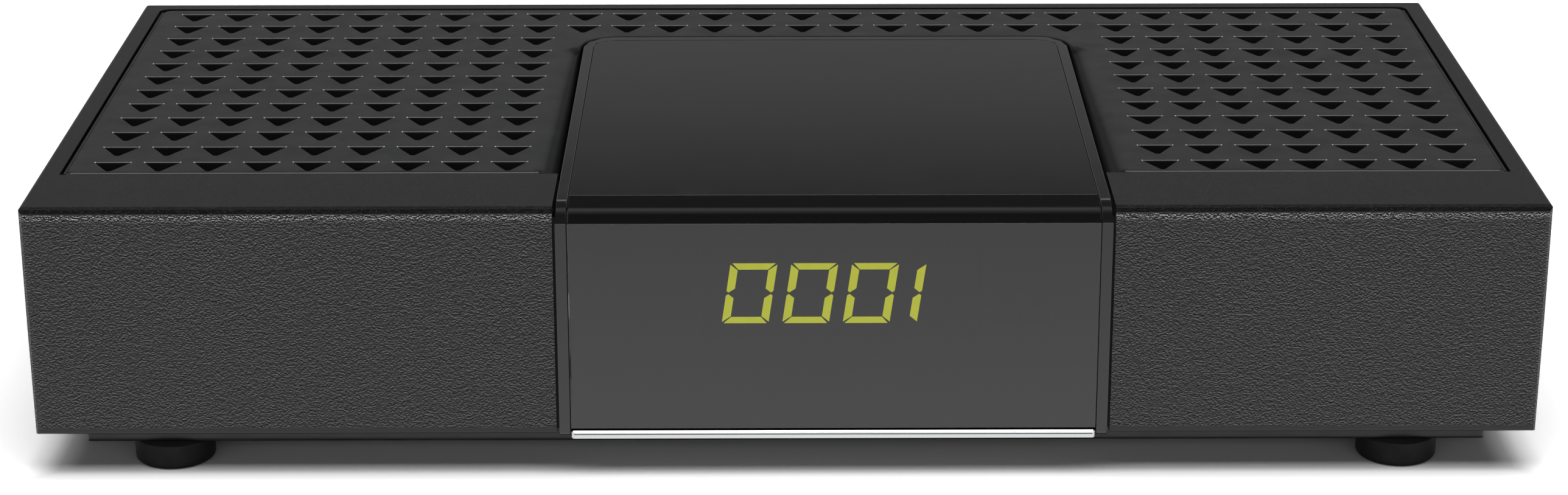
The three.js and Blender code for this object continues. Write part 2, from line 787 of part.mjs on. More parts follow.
// Rubber foot, with a rounded tread; its own origin is the middle of its upper face
function rubberFoot() {
  return turnedUp([
    [0, -footHeight], [footRadius, -footHeight, footRounding, edgeSteps],
    [footRadius, 0, footLipRadius, 1], [0, 0],
  ], 0, 0, 0);
}

const footPlaces = ['left', 'right'].flatMap((hand) => ['front', 'rear'].map((end) => ({
  name: `foot_${end}_${hand}`,
  x: (hand === 'left' ? -1 : 1) * (bodyHalf - footInsetSide),
  y: end === 'front' ? behind(footInsetEnd) : rearY - footInsetEnd,
})));

// Pan-head screw with a plain recess; its origin is under the head, and the shank points up
function panScrew(length) {
  const head = turnedUp([
    [0, -screwHeadHeight], [screwHeadRadius, -screwHeadHeight, screwHeadRounding, edgeSteps],
    [screwHeadRadius, 0], [screwRadius, 0], [screwRadius, length, screwHeadRounding, 1], [0, length],
  ], 0, 0, 0, smallRoundSides);
  const recess = prismUp(disc(0, 0, screwRecessRadius, 6),
    -screwHeadHeight - overrun, screwRecessDepth - screwHeadHeight);
  return head.subtract(recess);
}

// Outlines that the rear panel shares with its sockets, grown by a gap for the panel's holes
const boardZ = below(boardLevel);
const aerialZ = boardZ + tunerHeight / 2;
const audioZ = boardZ + audioHeight / 2;
const powerZ = boardZ + powerHeight / 2;
const switchZ = below(switchLevel);
const faceY = rearY + socketReach;

const scartOutline = (inset) => outline([
  [scartCentre - scartWidth / 2 + inset, boardZ + inset, scartCornerRadius],
  [scartCentre + scartWidth / 2 - inset - scartSlant, boardZ + inset, scartCornerRadius],
  [scartCentre + scartWidth / 2 - inset, boardZ + scartHeight - inset, scartCornerRadius],
  [scartCentre - scartWidth / 2 + inset, boardZ + scartHeight - inset, scartCornerRadius],
]);

function hdmiOutline(inset) {
  const half = hdmiWidth / 2 - inset;
  const [low, high] = [boardZ + inset, boardZ + hdmiHeight - inset];
  const foot = half - hdmiSlant;
  return outline([
    [hdmiCentre - foot, low, socketEdgeRadius], [hdmiCentre + foot, low, socketEdgeRadius],
    [hdmiCentre + half, low + hdmiStep, socketEdgeRadius], [hdmiCentre + half, high, socketEdgeRadius],
    [hdmiCentre - half, high, socketEdgeRadius], [hdmiCentre - half, low + hdmiStep, socketEdgeRadius],
  ]);
}

const usbOutline = (inset) => rectangle(usbCentre - usbWidth / 2 + inset, usbCentre + usbWidth / 2 - inset,
  boardZ + inset, boardZ + usbHeight - inset, socketEdgeRadius);

function rearPanel() {
  const half = innerHalf - fitGap;
  const panel = prismBack(rectangle(-half, half, below(shellHeight), below(roofDrop) - fitGap),
    panelY, rearY);
  const switchHalf = switchBodyWidth / 2 + fitGap;
  const switchRise = switchBodyHeight / 2 + fitGap;
  const holes = [
    disc(tunerCentre, aerialZ, aerialRadius + fitGap, roundSides),
    disc(audioCentre, audioZ, audioRadius + fitGap, roundSides),
    disc(powerCentre, powerZ, powerNoseRadius + fitGap, roundSides),
    scartOutline(-fitGap),
    hdmiOutline(-fitGap),
    usbOutline(-fitGap),
    rectangle(switchCentre - switchHalf, switchCentre + switchHalf,
      switchZ - switchRise, switchZ + switchRise),
  ];
  return cutBy(panel, holes.map((hole) => prismBack(hole, panelY - overrun, rearY + overrun)));
}

// Main board, with clearance holes for its screws
function mainBoard() {
  const plan = rectangle(-boardHalfWidth, boardHalfWidth,
    behind(boardFront), behind(boardBack), planCornerRadius);
  const board = prismUp(plan, below(boardUnderside), boardZ);
  return cutBy(board, boardScrewPlaces.map(({ x, y }) =>
    prismUp(disc(x, y, screwRadius + fitGap), below(boardUnderside) - overrun, boardZ + overrun)));
}

// Tuner: a folded tin can with a pressed lid
const tunerBack = panelY - aerialShoulderLength - 2 * fitGap;

function tunerCan() {
  const [left, right] = [tunerCentre - tunerWidth / 2, tunerCentre + tunerWidth / 2];
  const [front, top] = [tunerBack - tunerDepth, boardZ + tunerHeight];
  const body = prismUp(rectangle(left, right, front, tunerBack, tunerCornerRadius),
    boardZ, top - tunerLidDrop);
  const lid = prismUp(rectangle(left + tunerLidLip, right - tunerLidLip, front + tunerLidLip,
    tunerBack - tunerLidLip, tunerCornerRadius), top - tunerLidDrop - overrun, top);
  const dish = prismUp(rectangle(left + tunerLidDrop, right - tunerLidDrop, front + tunerLidDrop,
    tunerBack - tunerLidDrop, tunerCornerRadius), top - tunerLidThickness, top + overrun);
  return body.add(lid).subtract(dish);
}

// Threaded aerial connector: a shoulder inside the panel, the barrel outside, a centre contact
function aerialConnector() {
  const start = tunerBack + fitGap;
  const length = rearY + aerialReach - start;
  const barrel = turnedBack([
    [0, 0], [aerialShoulderRadius, 0], [aerialShoulderRadius, aerialShoulderLength],
    [aerialRadius, aerialShoulderLength], [aerialRadius, length, aerialEdge], [0, length],
  ], tunerCentre, start, aerialZ);
  const end = start + length;
  const recess = prismBack(disc(tunerCentre, aerialZ, aerialRecessRadius),
    end - aerialRecessDepth, end + overrun);
  const contact = prismBack(disc(tunerCentre, aerialZ, aerialContactRadius, 8),
    end - aerialContactDepth, end);
  return cutBy(barrel, [recess, contact]);
}

function aerialNut() {
  const radius = nutAcrossCorners / 2;
  const hexagon = prismBack(disc(tunerCentre, aerialZ, radius, 6), rearY, rearY + nutThickness);
  const chamfer = turnedBack([
    [0, 0], [radius, 0], [radius, nutThickness, aerialEdge], [0, nutThickness],
  ], tunerCentre, rearY, aerialZ);
  const bore = prismBack(disc(tunerCentre, aerialZ, aerialRadius + fitGap, roundSides),
    panelY, faceY + nutThickness);
  return hexagon.intersect(chamfer).subtract(bore);
}

// Digital audio socket: a moulded block with a round collar and a pin bore
function audioSocket() {
  const start = panelY - fitGap - audioDepth;
  const body = block(audioCentre - audioWidth / 2, audioCentre + audioWidth / 2,
    start, panelY - fitGap, boardZ, boardZ + audioHeight);
  const length = rearY + audioReach - start;
  const collar = turnedBack([
    [0, 0], [audioRadius, 0], [audioRadius, length, audioEdge], [0, length],
  ], audioCentre, start, audioZ);
  const bore = prismBack(disc(audioCentre, audioZ, audioBoreRadius), start + length - audioBoreDepth,
    start + length + overrun);
  return body.add(collar).subtract(bore);
}

// Wide audio and video socket: a slanted rim, a groove for the plug's shroud, and contact slots
function scartSocket() {
  const body = prismBack(scartOutline(0), faceY - scartDepth, faceY);
  const [grooveFloor, mouth] = [faceY - scartGrooveDepth, faceY + overrun];
  const groove = prismBack(scartOutline(scartRimInset), grooveFloor, mouth)
    .subtract(prismBack(scartOutline(scartRimInset + scartGroove), grooveFloor - overrun, mouth + overrun));
  const middle = scartCentre - scartSlant / 2;
  const slots = [-1, 1].flatMap((row) => Array.from({ length: contactsPerRow }, (_, i) => {
    const x = middle + (i - (contactsPerRow - 1) / 2 + row / 4) * contactPitch;
    const z = boardZ + scartHeight / 2 + row * contactRowOffset;
    return block(x - contactWidth / 2, x + contactWidth / 2, faceY - contactDepth, mouth,
      z - contactHeight / 2, z + contactHeight / 2);
  }));
  return cutBy(body, [groove, ...slots]);
}

function hdmiSocket() {
  const shell = prismBack(hdmiOutline(0), faceY - hdmiDepth, faceY);
  const floor = faceY - hdmiCavityDepth;
  const cavity = prismBack(hdmiOutline(hdmiSkin), floor, faceY + overrun);
  const z = boardZ + hdmiHeight / 2;
  const tongue = block(hdmiCentre - hdmiTongueWidth / 2, hdmiCentre + hdmiTongueWidth / 2, floor - overrun,
    faceY - hdmiTongueSetback, z, z + hdmiTongueThickness);
  return shell.subtract(cavity).add(tongue);
}

function usbSocket() {
  const shell = prismBack(usbOutline(0), faceY - usbDepth, faceY);
  const floor = faceY - usbCavityDepth;
  const cavity = prismBack(usbOutline(usbSkin), floor, faceY + overrun);
  const top = boardZ + usbHeight - usbSkin - usbTongueGap;
  const tongue = block(usbCentre - usbTongueWidth / 2, usbCentre + usbTongueWidth / 2, floor - overrun,
    faceY - usbTongueSetback, top - usbTongueThickness, top);
  return shell.subtract(cavity).add(tongue);
}

// Direct-current inlet: a block with a round nose, its bore and the centre pin
function powerInlet() {
  const body = block(powerCentre - powerWidth / 2, powerCentre + powerWidth / 2,
    panelY - fitGap - powerDepth, panelY - fitGap, boardZ, boardZ + powerHeight);
  const nose = prismBack(disc(powerCentre, powerZ, powerNoseRadius, roundSides),
    panelY - powerDepth / 2, faceY);
  const floor = faceY - powerBoreDepth;
  const bore = prismBack(disc(powerCentre, powerZ, powerBoreRadius, roundSides), floor, faceY + overrun);
  const pin = prismBack(disc(powerCentre, powerZ, powerPinRadius), floor - overrun, faceY - powerPinSetback);
  return body.add(nose).subtract(bore).add(pin);
}

// Rocker switch body: a flanged box with a pocket, two axle holes and two blade terminals
const pivotY = rearY - switchPivotDepth;

function switchBody() {
  const half = switchBodyWidth / 2;
  const inside = rearY - switchBodyDepth;
  const box = block(switchCentre - half, switchCentre + half, inside, rearY,
    switchZ - switchBodyHeight / 2, switchZ + switchBodyHeight / 2);
  const [flangeHalf, flangeRise] = [switchFlangeWidth / 2, switchFlangeHeight / 2];
  const flangeOutline = rectangle(switchCentre - flangeHalf, switchCentre + flangeHalf,
    switchZ - flangeRise, switchZ + flangeRise, switchFlangeRadius);
  const flange = prismBack(flangeOutline, rearY, rearY + switchFlangeThickness);
  const reach = Math.hypot(rockerSkirt, rockerSkirtHalf) + fitGap;
  const [pocketHalf, pocketRise] = [rockerWidth / 2 + fitGap, rockerTipRadius + fitGap];
  const pocket = block(switchCentre - pocketHalf, switchCentre + pocketHalf, pivotY - reach,
    rearY + switchFlangeThickness + overrun, switchZ - pocketRise, switchZ + pocketRise);
  const axleReach = rockerWidth / 2 + rockerAxleLength + fitGap;
  const axleHole = prismAcross(disc(pivotY, switchZ, rockerAxleRadius + fitGap),
    switchCentre - axleReach, switchCentre + axleReach);
  const terminals = [-1, 1].map((side) => {
    const z = switchZ + side * terminalSpread;
    return block(switchCentre - terminalWidth / 2, switchCentre + terminalWidth / 2, inside - terminalLength,
      inside + overrun, z - terminalThickness / 2, z + terminalThickness / 2);
  });
  return cutBy(joined([box, flange, ...terminals]), [pocket, axleHole]);
}

// The rocker about its own axle: a shallow V on top, a skirt below, and two stub axles
function rocker() {
  const tipHalf = Math.sqrt(rockerTipRadius ** 2 - rockerTipRise ** 2);
  const section = outline([
    [rockerTipRise, tipHalf, switchFlangeThickness / 3], [rockerMiddleRise, 0],
    [rockerTipRise, -tipHalf, switchFlangeThickness / 3], [-rockerMiddleRise, -tipHalf],
    [-rockerSkirt, -rockerSkirtHalf], [-rockerSkirt, rockerSkirtHalf], [-rockerMiddleRise, tipHalf],
  ]);
  const half = rockerWidth / 2;
  const axle = prismAcross(disc(0, 0, rockerAxleRadius), -half - rockerAxleLength, half + rockerAxleLength);
  return prismAcross(section, -half, half).add(axle);
}

// Display: a case with one slanted aperture for each digit, and light bars behind them
const displayZ = below(displayLevel);
const displayFaceY = behind(windowBackFace + fitGap);
const displayBoardY = behind(displayBoardFront);
const digitCentres = Array.from({ length: digitCount }, (_, i) =>
  displayCentre + (i - (digitCount - 1) / 2) * digitPitch);

// A point of a digit, leaning to the right with its height
const slanted = (centre, u, v) => [centre + u + digitSlant * v, displayZ + v];

function displayCase() {
  const [left, right] = [displayCentre - displayWidth / 2, displayCentre + displayWidth / 2];
  const [low, high] = [displayZ - displayHeight / 2, displayZ + displayHeight / 2];
  const box = block(left, right, displayFaceY, displayBoardY, low, high);
  const cavity = block(left + displaySkin, right - displaySkin, displayFaceY + displayFrontSkin,
    displayBoardY + overrun, low + displaySkin, high - displaySkin);
  const halfWidth = digitWidth / 2 + digitMargin;
  const halfHeight = digitHeight / 2 + digitMargin;
  const apertures = digitCentres.map((centre) => prismBack(outline([
    slanted(centre, -halfWidth, -halfHeight), slanted(centre, halfWidth, -halfHeight),
    slanted(centre, halfWidth, halfHeight), slanted(centre, -halfWidth, halfHeight),
  ]), displayFaceY - overrun, displayFaceY + displayFrontSkin + overrun));
  return cutBy(box, [cavity, ...apertures]);
}

// One light bar between two places of a digit, pointed at both ends
function lightBar(centre, [u0, v0], [u1, v1]) {
  const along = new THREE.Vector2(u1 - u0, v1 - v0).normalize();
  const side = along.clone().rotateAround(new THREE.Vector2(), Math.PI / 2).multiplyScalar(segmentWidth / 2);
  const at = (u, v, forward, across) => slanted(centre,
    u + along.x * forward + side.x * across, v + along.y * forward + side.y * across);
  const [point, shoulder] = [segmentBreak, segmentBreak + segmentWidth / 2];
  return outline([
    at(u0, v0, point, 0), at(u0, v0, shoulder, 1), at(u1, v1, -shoulder, 1),
    at(u1, v1, -point, 0), at(u1, v1, -shoulder, -1), at(u0, v0, shoulder, -1),
  ]);
}

// The seven bars of a digit, as pairs of corners in shares of its half width and half height
const barShares = [
  [[-1, 1], [1, 1]], [[-1, 0], [1, 0]], [[-1, -1], [1, -1]],
  [[-1, 0], [-1, 1]], [[1, 0], [1, 1]], [[-1, -1], [-1, 0]], [[1, -1], [1, 0]],
];

function lightBars() {
  const [halfWidth, halfHeight] = [(digitWidth - segmentWidth) / 2, (digitHeight - segmentWidth) / 2];
  const corner = ([u, v]) => [u * halfWidth, v * halfHeight];
  const plateY = displayFaceY + displayFrontSkin + fitGap;
  const margin = displaySkin + fitGap;
  const [plateHalf, plateRise] = [displayWidth / 2 - margin, displayHeight / 2 - margin];
  const plate = block(displayCentre - plateHalf, displayCentre + plateHalf,
    plateY, plateY + segmentCarrier, displayZ - plateRise, displayZ + plateRise);
  const bars = digitCentres.flatMap((centre) => barShares.map(([from, to]) =>
    prismBack(lightBar(centre, corner(from), corner(to)), displayFaceY, plateY + segmentCarrier / 2)));
  return joined([plate, ...bars]);
}

const displayBoard = () => block(displayBoardLeft, displayBoardRight,
  displayBoardY, displayBoardY + boardThickness,
  below(boardLevel - displayBoardBottomGap), below(roofDrop + displayBoardTopGap));

// Header that stands on the main board and holds the display board upright
function displayHeader() {
  const front = displayBoardY + boardThickness;
  return block(displayCentre - headerWidth / 2, displayCentre + headerWidth / 2, front, front + headerDepth,
    boardZ, boardZ + headerHeight);
}

// Infra-red eye: a small moulded body with a domed lens to the front
function infraRedEye() {
  const front = displayBoardY - eyeDepth;
  const body = block(eyeCentre - eyeWidth / 2, eyeCentre + eyeWidth / 2, front, displayBoardY,
    displayZ - eyeHeight / 2, displayZ + eyeHeight / 2);
  const dome = solid(new THREE.SphereGeometry(eyeLensRadius, smallRoundSides, smallRoundSides / 2)
    .translate(eyeCentre, front, displayZ));
  return body.add(dome);
}

// A chip package with its upper edges drawn in
function chip(width, depth, height) {
  const edge = (2 * height) / 3;
  const section = (half) => outline([
    [-half, 0], [half, 0], [half, edge], [half - chipEdge, height], [chipEdge - half, height], [-half, edge],
  ]);
  return prismBack(section(width / 2), -depth / 2, depth / 2)
    .intersect(prismAcross(section(depth / 2), -width / 2, width / 2));
}

// Small chip on bent legs along two sides
function leggedChip() {
  const body = chip(flashSize, flashSize, flashHeight);
  const half = flashSize / 2;
  const knee = half + flashLegReach / 2;
  const section = (side) => outline([
    [side * (half - chipEdge), flashLegHeight], [side * knee, flashLegHeight],
    [side * knee, flashLegWidth / 2], [side * (half + flashLegReach), flashLegWidth / 2],
    [side * (half + flashLegReach), 0], [side * (knee - flashLegWidth / 2), 0],
    [side * (knee - flashLegWidth / 2), flashLegHeight - flashLegWidth / 2],
    [side * (half - chipEdge), flashLegHeight - flashLegWidth / 2],
  ]);
  const legs = [-1, 1].flatMap((side) => Array.from({ length: flashLegs }, (_, i) => {
    const x = (i - (flashLegs - 1) / 2) * flashLegPitch;
    return prismAcross(section(side), x - flashLegWidth / 2, x + flashLegWidth / 2);
  }));
  return joined([body, ...legs]);
}

// Finned heat sink standing on the processor
function heatSink() {
  const half = sinkSize / 2;
  const base = block(-half, half, -half, half, 0, sinkBase);
  const pitch = (sinkSize - finThickness) / (finCount - 1);
  const fins = Array.from({ length: finCount }, (_, i) => {
    const left = -half + i * pitch;
    return block(left, left + finThickness, -half, half, 0, sinkHeight);
  });
  return joined([base, ...fins]);
}

// Crystal can: a drawn oval can on a flange
function crystalCan() {
  const oval = (inset) => rectangle(inset - crystalWidth / 2, crystalWidth / 2 - inset,
    inset - crystalDepth / 2, crystalDepth / 2 - inset, crystalRoundShare * (crystalDepth - 2 * inset));
  return prismUp(oval(0), 0, crystalFlange).add(prismUp(oval(crystalFlange), 0, crystalHeight));
}

// Electrolytic capacitor: a can with a rolled neck near its foot
function capacitor() {
  const neck = capacitorRadius - capacitorNeck;
  return turnedUp([
    [0, 0], [capacitorRadius, 0], [capacitorRadius, capacitorNeckHeight - capacitorNeck],
    [neck, capacitorNeckHeight], [capacitorRadius, capacitorNeckHeight + capacitorNeck],
    [capacitorRadius, capacitorHeight, capacitorEdge, 1], [0, capacitorHeight],
  ], 0, 0, 0, smallRoundSides);
}

// Shielded coil: a square ferrite block with a shallow round recess
function shieldedCoil() {
  const half = coilSize / 2;
  const body = prismUp(rectangle(-half, half, -half, half, coilCornerRadius), 0, coilHeight);
  const recess = prismUp(disc(0, 0, coilCoreRadius), coilHeight - coilCoreRecess, coilHeight + overrun);
  return body.subtract(recess);
}

// Enclosure
place('housing_shell', housingShell(), blackPlastic);
place('grille_insert', grilleInsert(), blackPlastic);
place('centre_bezel', centreBezel(), glossPlastic);
place('display_window', displayWindow(), smokedAcrylic);
place('chrome_trim', brightTrim(), brightPlating);
place('base_tray', baseTray(), trayPlastic);
place('rear_panel', rearPanel(), blackPlastic);

const foot = geometryOf(rubberFoot());
footPlaces.forEach(({ name, x, y }) => place(name, foot, rubber, x, y, below(trayBottom)));

const caseScrew = geometryOf(panScrew(caseScrewLength));
caseScrewPlaces.forEach(({ x, y }, i) =>
  place(`case_screw_${i + 1}`, caseScrew, zincSteel, x, y, below(caseHeadDrop)));

const boardScrew = geometryOf(panScrew(boardScrewLength).mirror([0, 0, 1]));
boardScrewPlaces.forEach(({ x, y }, i) => place(`board_screw_${i + 1}`, boardScrew, zincSteel, x, y, boardZ));

// Rear sockets and the switch
place('main_board', mainBoard(), boardGreen);
place('tuner_can', tunerCan(), tinPlate);
place('f_connector', aerialConnector(), nickel);
place('f_connector_nut', aerialNut(), nickel);
place('audio_socket', audioSocket(), socketBlack);
place('scart_socket', scartSocket(), socketBlack);
place('hdmi_socket', hdmiSocket(), tinPlate);
place('usb_socket', usbSocket(), tinPlate);
place('power_inlet', powerInlet(), socketBlack);
place('power_switch_body', switchBody(), socketBlack);

const rockerAxis = new THREE.Group();
rockerAxis.position.set(switchCentre, pivotY, switchZ);
rockerAxis.rotation.x = THREE.MathUtils.degToRad(rockerRestTilt);
receiver.add(rockerAxis);
place('power_rocker', rocker(), socketBlack, 0, 0, 0, rockerAxis);

// Display and infra-red eye
place('display_board', displayBoard(), boardGreen);
place('display_header', displayHeader(), socketBlack);
place('led_display_case', displayCase(), displayGrey);
place('led_segments', lightBars(), segmentGreen);
place('ir_receiver', infraRedEye(), chipBlack);

// Components on the main board, placed from its left edge
const capacitorCentre = capacitorInset - boardHalfWidth;
const capacitorY = rearY - capacitorRearInset;
const capacitorEnd = capacitorCentre + (capacitorCount - 1) * capacitorPitch + capacitorRadius;
const sinkCentre = capacitorEnd + sinkGap + sinkSize / 2;
const memoryCentre = sinkCentre + sinkSize / 2 + memoryGap + memoryWidth / 2;
const sinkY = behind(sinkDepthCentre);
place('processor', chip(processorSize, processorSize, processorHeight), chipBlack, sinkCentre, sinkY, boardZ);
place('heat_sink', heatSink(), aluminium, sinkCentre, sinkY, boardZ + processorHeight);
place('memory_chip', chip(memoryWidth, memoryDepth, memoryHeight), chipBlack,
  memoryCentre, behind(memoryDepthCentre), boardZ);
place('flash_chip', leggedChip(), chipBlack, memoryCentre, behind(flashDepthCentre), boardZ);
place('crystal', crystalCan(), tinPlate, memoryCentre + crystalPitch, behind(crystalDepthCentre), boardZ);

const can = geometryOf(capacitor());
for (let i = 0; i < capacitorCount; i += 1) {
  place(`capacitor_${i + 1}`, can, sleeveBlack,
    capacitorCentre + i * capacitorPitch, capacitorY, boardZ);
}

const coil = geometryOf(shieldedCoil());
for (let i = 0; i < coilCount; i += 1) {
  place(`power_coil_${i + 1}`, coil, ferrite,
    coilInset - boardHalfWidth - i * coilPitch, capacitorY - coilGap, boardZ);
}

export default receiver;
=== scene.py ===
# %% [markdown]
# # A compact satellite receiver
#
# The real object is a low black box, 168 mm wide, that stands beside a television. Its housing is
# moulded ABS with a grain on its upright faces. A plate full of small triangular vents lies in its
# top, a polished cover bends over its front edge, and four lit digits shine through the smoked part
# of that cover.
#
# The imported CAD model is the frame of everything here. This lesson builds the surfaces that the
# eye reads closely, as points worked out with numpy, and gives every CAD node a material of its
# own.

# %% The frame and the tools
import json

import bmesh
import bpy
import numpy as np
from mathutils import Euler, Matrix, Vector
from mathutils.geometry import delaunay_2d_cdt

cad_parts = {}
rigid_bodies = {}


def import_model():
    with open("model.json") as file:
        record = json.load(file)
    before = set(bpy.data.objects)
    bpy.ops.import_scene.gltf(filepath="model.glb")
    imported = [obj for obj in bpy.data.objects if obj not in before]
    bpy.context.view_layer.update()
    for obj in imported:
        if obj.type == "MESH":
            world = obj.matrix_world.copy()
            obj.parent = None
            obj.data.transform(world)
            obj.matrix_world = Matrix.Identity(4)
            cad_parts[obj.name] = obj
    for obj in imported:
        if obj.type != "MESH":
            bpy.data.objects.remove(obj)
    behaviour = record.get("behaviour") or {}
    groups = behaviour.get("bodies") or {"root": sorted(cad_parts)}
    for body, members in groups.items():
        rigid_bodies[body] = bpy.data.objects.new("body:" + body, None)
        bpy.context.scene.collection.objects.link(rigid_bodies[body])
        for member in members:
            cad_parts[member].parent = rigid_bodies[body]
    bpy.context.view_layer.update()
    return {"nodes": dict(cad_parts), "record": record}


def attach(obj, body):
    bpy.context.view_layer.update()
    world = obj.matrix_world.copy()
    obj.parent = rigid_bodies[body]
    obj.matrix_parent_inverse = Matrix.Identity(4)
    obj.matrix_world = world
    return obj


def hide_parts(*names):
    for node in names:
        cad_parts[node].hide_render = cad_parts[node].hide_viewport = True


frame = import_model()
nodes = frame["nodes"]

# %% [markdown]
# Sizes are written in millimetres, as on a drawing, and turned to metres where a mesh is made.
# Depths are counted from the front face to the rear, and drops from the top plane downwards,
# because both were measured that way on the real object.

# %% Main sizes, in millimetres
MM = 0.001
FRONT, REAR, TOP = -46.5, 37.1, 31.7
BODY_HALF = 84.0
COVER_LEFT, COVER_RIGHT = -25.3, 35.8


def behind(depth):
    """Y at a depth behind the front face."""
    return FRONT + depth


def below(drop):
    """Z at a drop below the top plane."""
    return TOP - drop


print("body:", 2 * BODY_HALF, "mm wide and", round(REAR - FRONT, 1), "mm deep")

# %% [markdown]
# ## Building surfaces
#
# A polygon with rounded corners is the plan of most pieces. Each corner is replaced by an arc that
# touches both of its sides. Drawing the arc itself, and not leaving it to a bevel afterwards, keeps
# its radius exact.

# %% Rounded outlines
def arc_points(before, corner, after, radius, steps):
    """Arc that touches both sides of a corner: its centre lies on the corner's half-angle line,
    radius / sin(half angle) away, and its points turn evenly about that centre."""
    back = (before - corner) / np.linalg.norm(before - corner)
    ahead = (after - corner) / np.linalg.norm(after - corner)
    half = np.arccos(np.clip(back @ ahead, -1, 1)) / 2
    middle = (back + ahead) / np.linalg.norm(back + ahead)
    centre = corner + middle * radius / np.sin(half)
    reach = radius / np.tan(half)
    start, end = corner + back * reach - centre, corner + ahead * reach - centre
    sweep = np.arctan2(start[0] * end[1] - start[1] * end[0], start @ end)
    turn = np.linspace(0, sweep, steps + 1)
    cos, sin = np.cos(turn), np.sin(turn)
    return centre + np.stack([cos * start[0] - sin * start[1], sin * start[0] + cos * start[1]], 1)


def rounded(corners, radii, steps=6, closed=True):
    """Outline with an arc at each corner that has a radius. An open one keeps its two ends."""
    corners = np.asarray(corners, float)
    last = len(corners) - 1
    parts = []
    for i, (corner, radius) in enumerate(zip(corners, np.broadcast_to(radii, len(corners)))):
        if not radius or (not closed and i in (0, last)):
            parts.append(corner[None])
        else:
            after = corners[0 if i == last else i + 1]
            parts.append(arc_points(corners[i - 1], corner, after, radius, steps))
    return np.concatenate(parts)


print("points of a bent line:", len(rounded([[0, 0], [1, 0], [1, 1]], 0.3, closed=False)))

# %% [markdown]
# Two more outlines are needed everywhere: a rectangle with rounded corners, and a line that follows
# another one at an even distance inside it.

# %% Rectangles and insets
def box_outline(left, right, low, high, radius=0.0, steps=6):
    """Outline of a rectangle, anticlockwise, its corners rounded."""
    return rounded([[left, low], [right, low], [right, high], [left, high]], radius, steps)


def inset(outline, distance):
    """Moves each point of a closed anticlockwise outline inwards: along the sum of its two side
    normals, divided by 1 plus their dot product, so both sides move by the same distance."""
    ahead = np.roll(outline, -1, 0) - outline
    ahead /= np.linalg.norm(ahead, axis=1, keepdims=True)
    normal = np.stack([-ahead[:, 1], ahead[:, 0]], 1)
    before = np.roll(normal, 1, 0)
    share = 1 + (normal * before).sum(1, keepdims=True)
    return outline + distance * (normal + before) / share


print("points of a rounded square:", len(box_outline(-1, 1, -1, 1, 0.3)))

# %% [markdown]
# A grid of points becomes faces by joining each point to its neighbours in the next row and
# column. Each row is a closed ring here, and the last ring may be joined to the first.

# %% Grids and lofts
def grid_faces(rows, columns, close_rows=False):
    """Four-sided faces between the points of a grid of closed rows, stored row by row."""
    r = np.arange(rows if close_rows else rows - 1)[:, None]
    c = np.arange(columns)[None]
    r2, c2 = (r + 1) % rows, (c + 1) % columns
    corners = (r * columns + c, r * columns + c2, r2 * columns + c2, r2 * columns + c)
    return np.stack(np.broadcast_arrays(*corners), -1).reshape(-1, 4).tolist()


def loft(rings):
    """Solid through a stack of closed rings of one count, with a flat face on each end."""
    rings = np.asarray(rings, float)
    count, sides = rings.shape[:2]
    ends = [list(range(sides))[::-1], list(range((count - 1) * sides, count * sides))]
    return rings.reshape(-1, 3), grid_faces(count, sides) + ends


def joined(*solids):
    """Several (points, faces) solids as one: the point numbers in each one's faces move on by the
    count of the points before it."""
    starts = np.cumsum([0] + [len(points) for points, _ in solids])
    faces = [(np.array(face) + start).tolist() for start, (_, held) in zip(starts, solids)
             for face in held]
    return np.concatenate([points for points, _ in solids]), faces


print("faces of a four-ring tube with six sides:", len(loft(np.zeros((4, 6, 3)))[1]))

# %% [markdown]
# A finished piece is a mesh in metres whose object stays at the origin, so its pattern doesn't
# slide when the object is exported. Merging its doubles closes seams and poles.

# %% Meshes
MERGE = 2e-7  # metres, a good deal less than the smallest step of any shape here


def new_mesh(name, solid):
    """Mesh in metres, its doubles merged, its areas of nothing dropped and its faces turned out."""
    points, faces = solid
    mesh = bpy.data.meshes.new(name)
    mesh.from_pydata((np.asarray(points) * MM).tolist(), [], faces)
    work = bmesh.new()
    work.from_mesh(mesh)
    bmesh.ops.remove_doubles(work, verts=work.verts, dist=MERGE)
    bmesh.ops.dissolve_degenerate(work, edges=work.edges, dist=MERGE)
    bmesh.ops.recalc_face_normals(work, faces=work.faces)
    work.to_mesh(mesh)
    work.free()
    return mesh


print("doubles are nearer than", MERGE / MM, "mm")

# %% [markdown]
# Shading is smooth except at real creases, and broad faces decide how the light turns at a rounded
# edge. Each piece rides on a body, takes a finish, and hides the CAD node it stands for, if it
# replaces one.

# %% Pieces
def bevelled(thing, width, segments, crease):
    """Rolls the edges that bend by more than the crease angle."""
    bevel = thing.modifiers.new("edges", "BEVEL")
    bevel.width, bevel.segments = width * MM, segments
    bevel.limit_method, bevel.angle_limit = "ANGLE", np.radians(crease)
    return bevel


def finished(name, mesh, replaced, body, crease, edge, segments):
    """Object for a mesh, its edges rolled and shaded, riding on a body. Gives its bevel too."""
    thing = bpy.data.objects.new(name, mesh)
    bpy.context.collection.objects.link(thing)
    bevel = bevelled(thing, edge, segments, crease) if edge else None
    mesh.shade_smooth()
    mesh.set_sharp_from_angle(angle=np.radians(crease))
    thing.modifiers.new("face weights", "WEIGHTED_NORMAL").keep_sharp = True
    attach(thing, body)
    if replaced:
        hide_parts(*replaced)
    return thing, bevel


def piece(name, solid, material, replaces=(), body="receiver", crease=35, edge=0.0):
    """One new piece; edge is the width of a bevel on its sharp edges."""
    mesh = new_mesh(name, solid)
    mesh.materials.append(material)
    return finished(name, mesh, replaces, body, crease, edge, 3)[0]


# %% [markdown]
# Most rounded solids here are one of two kinds. A pad is an outline given a height, its edges
# rolled over on a quarter circle. A turned piece is a profile spun round an axis.

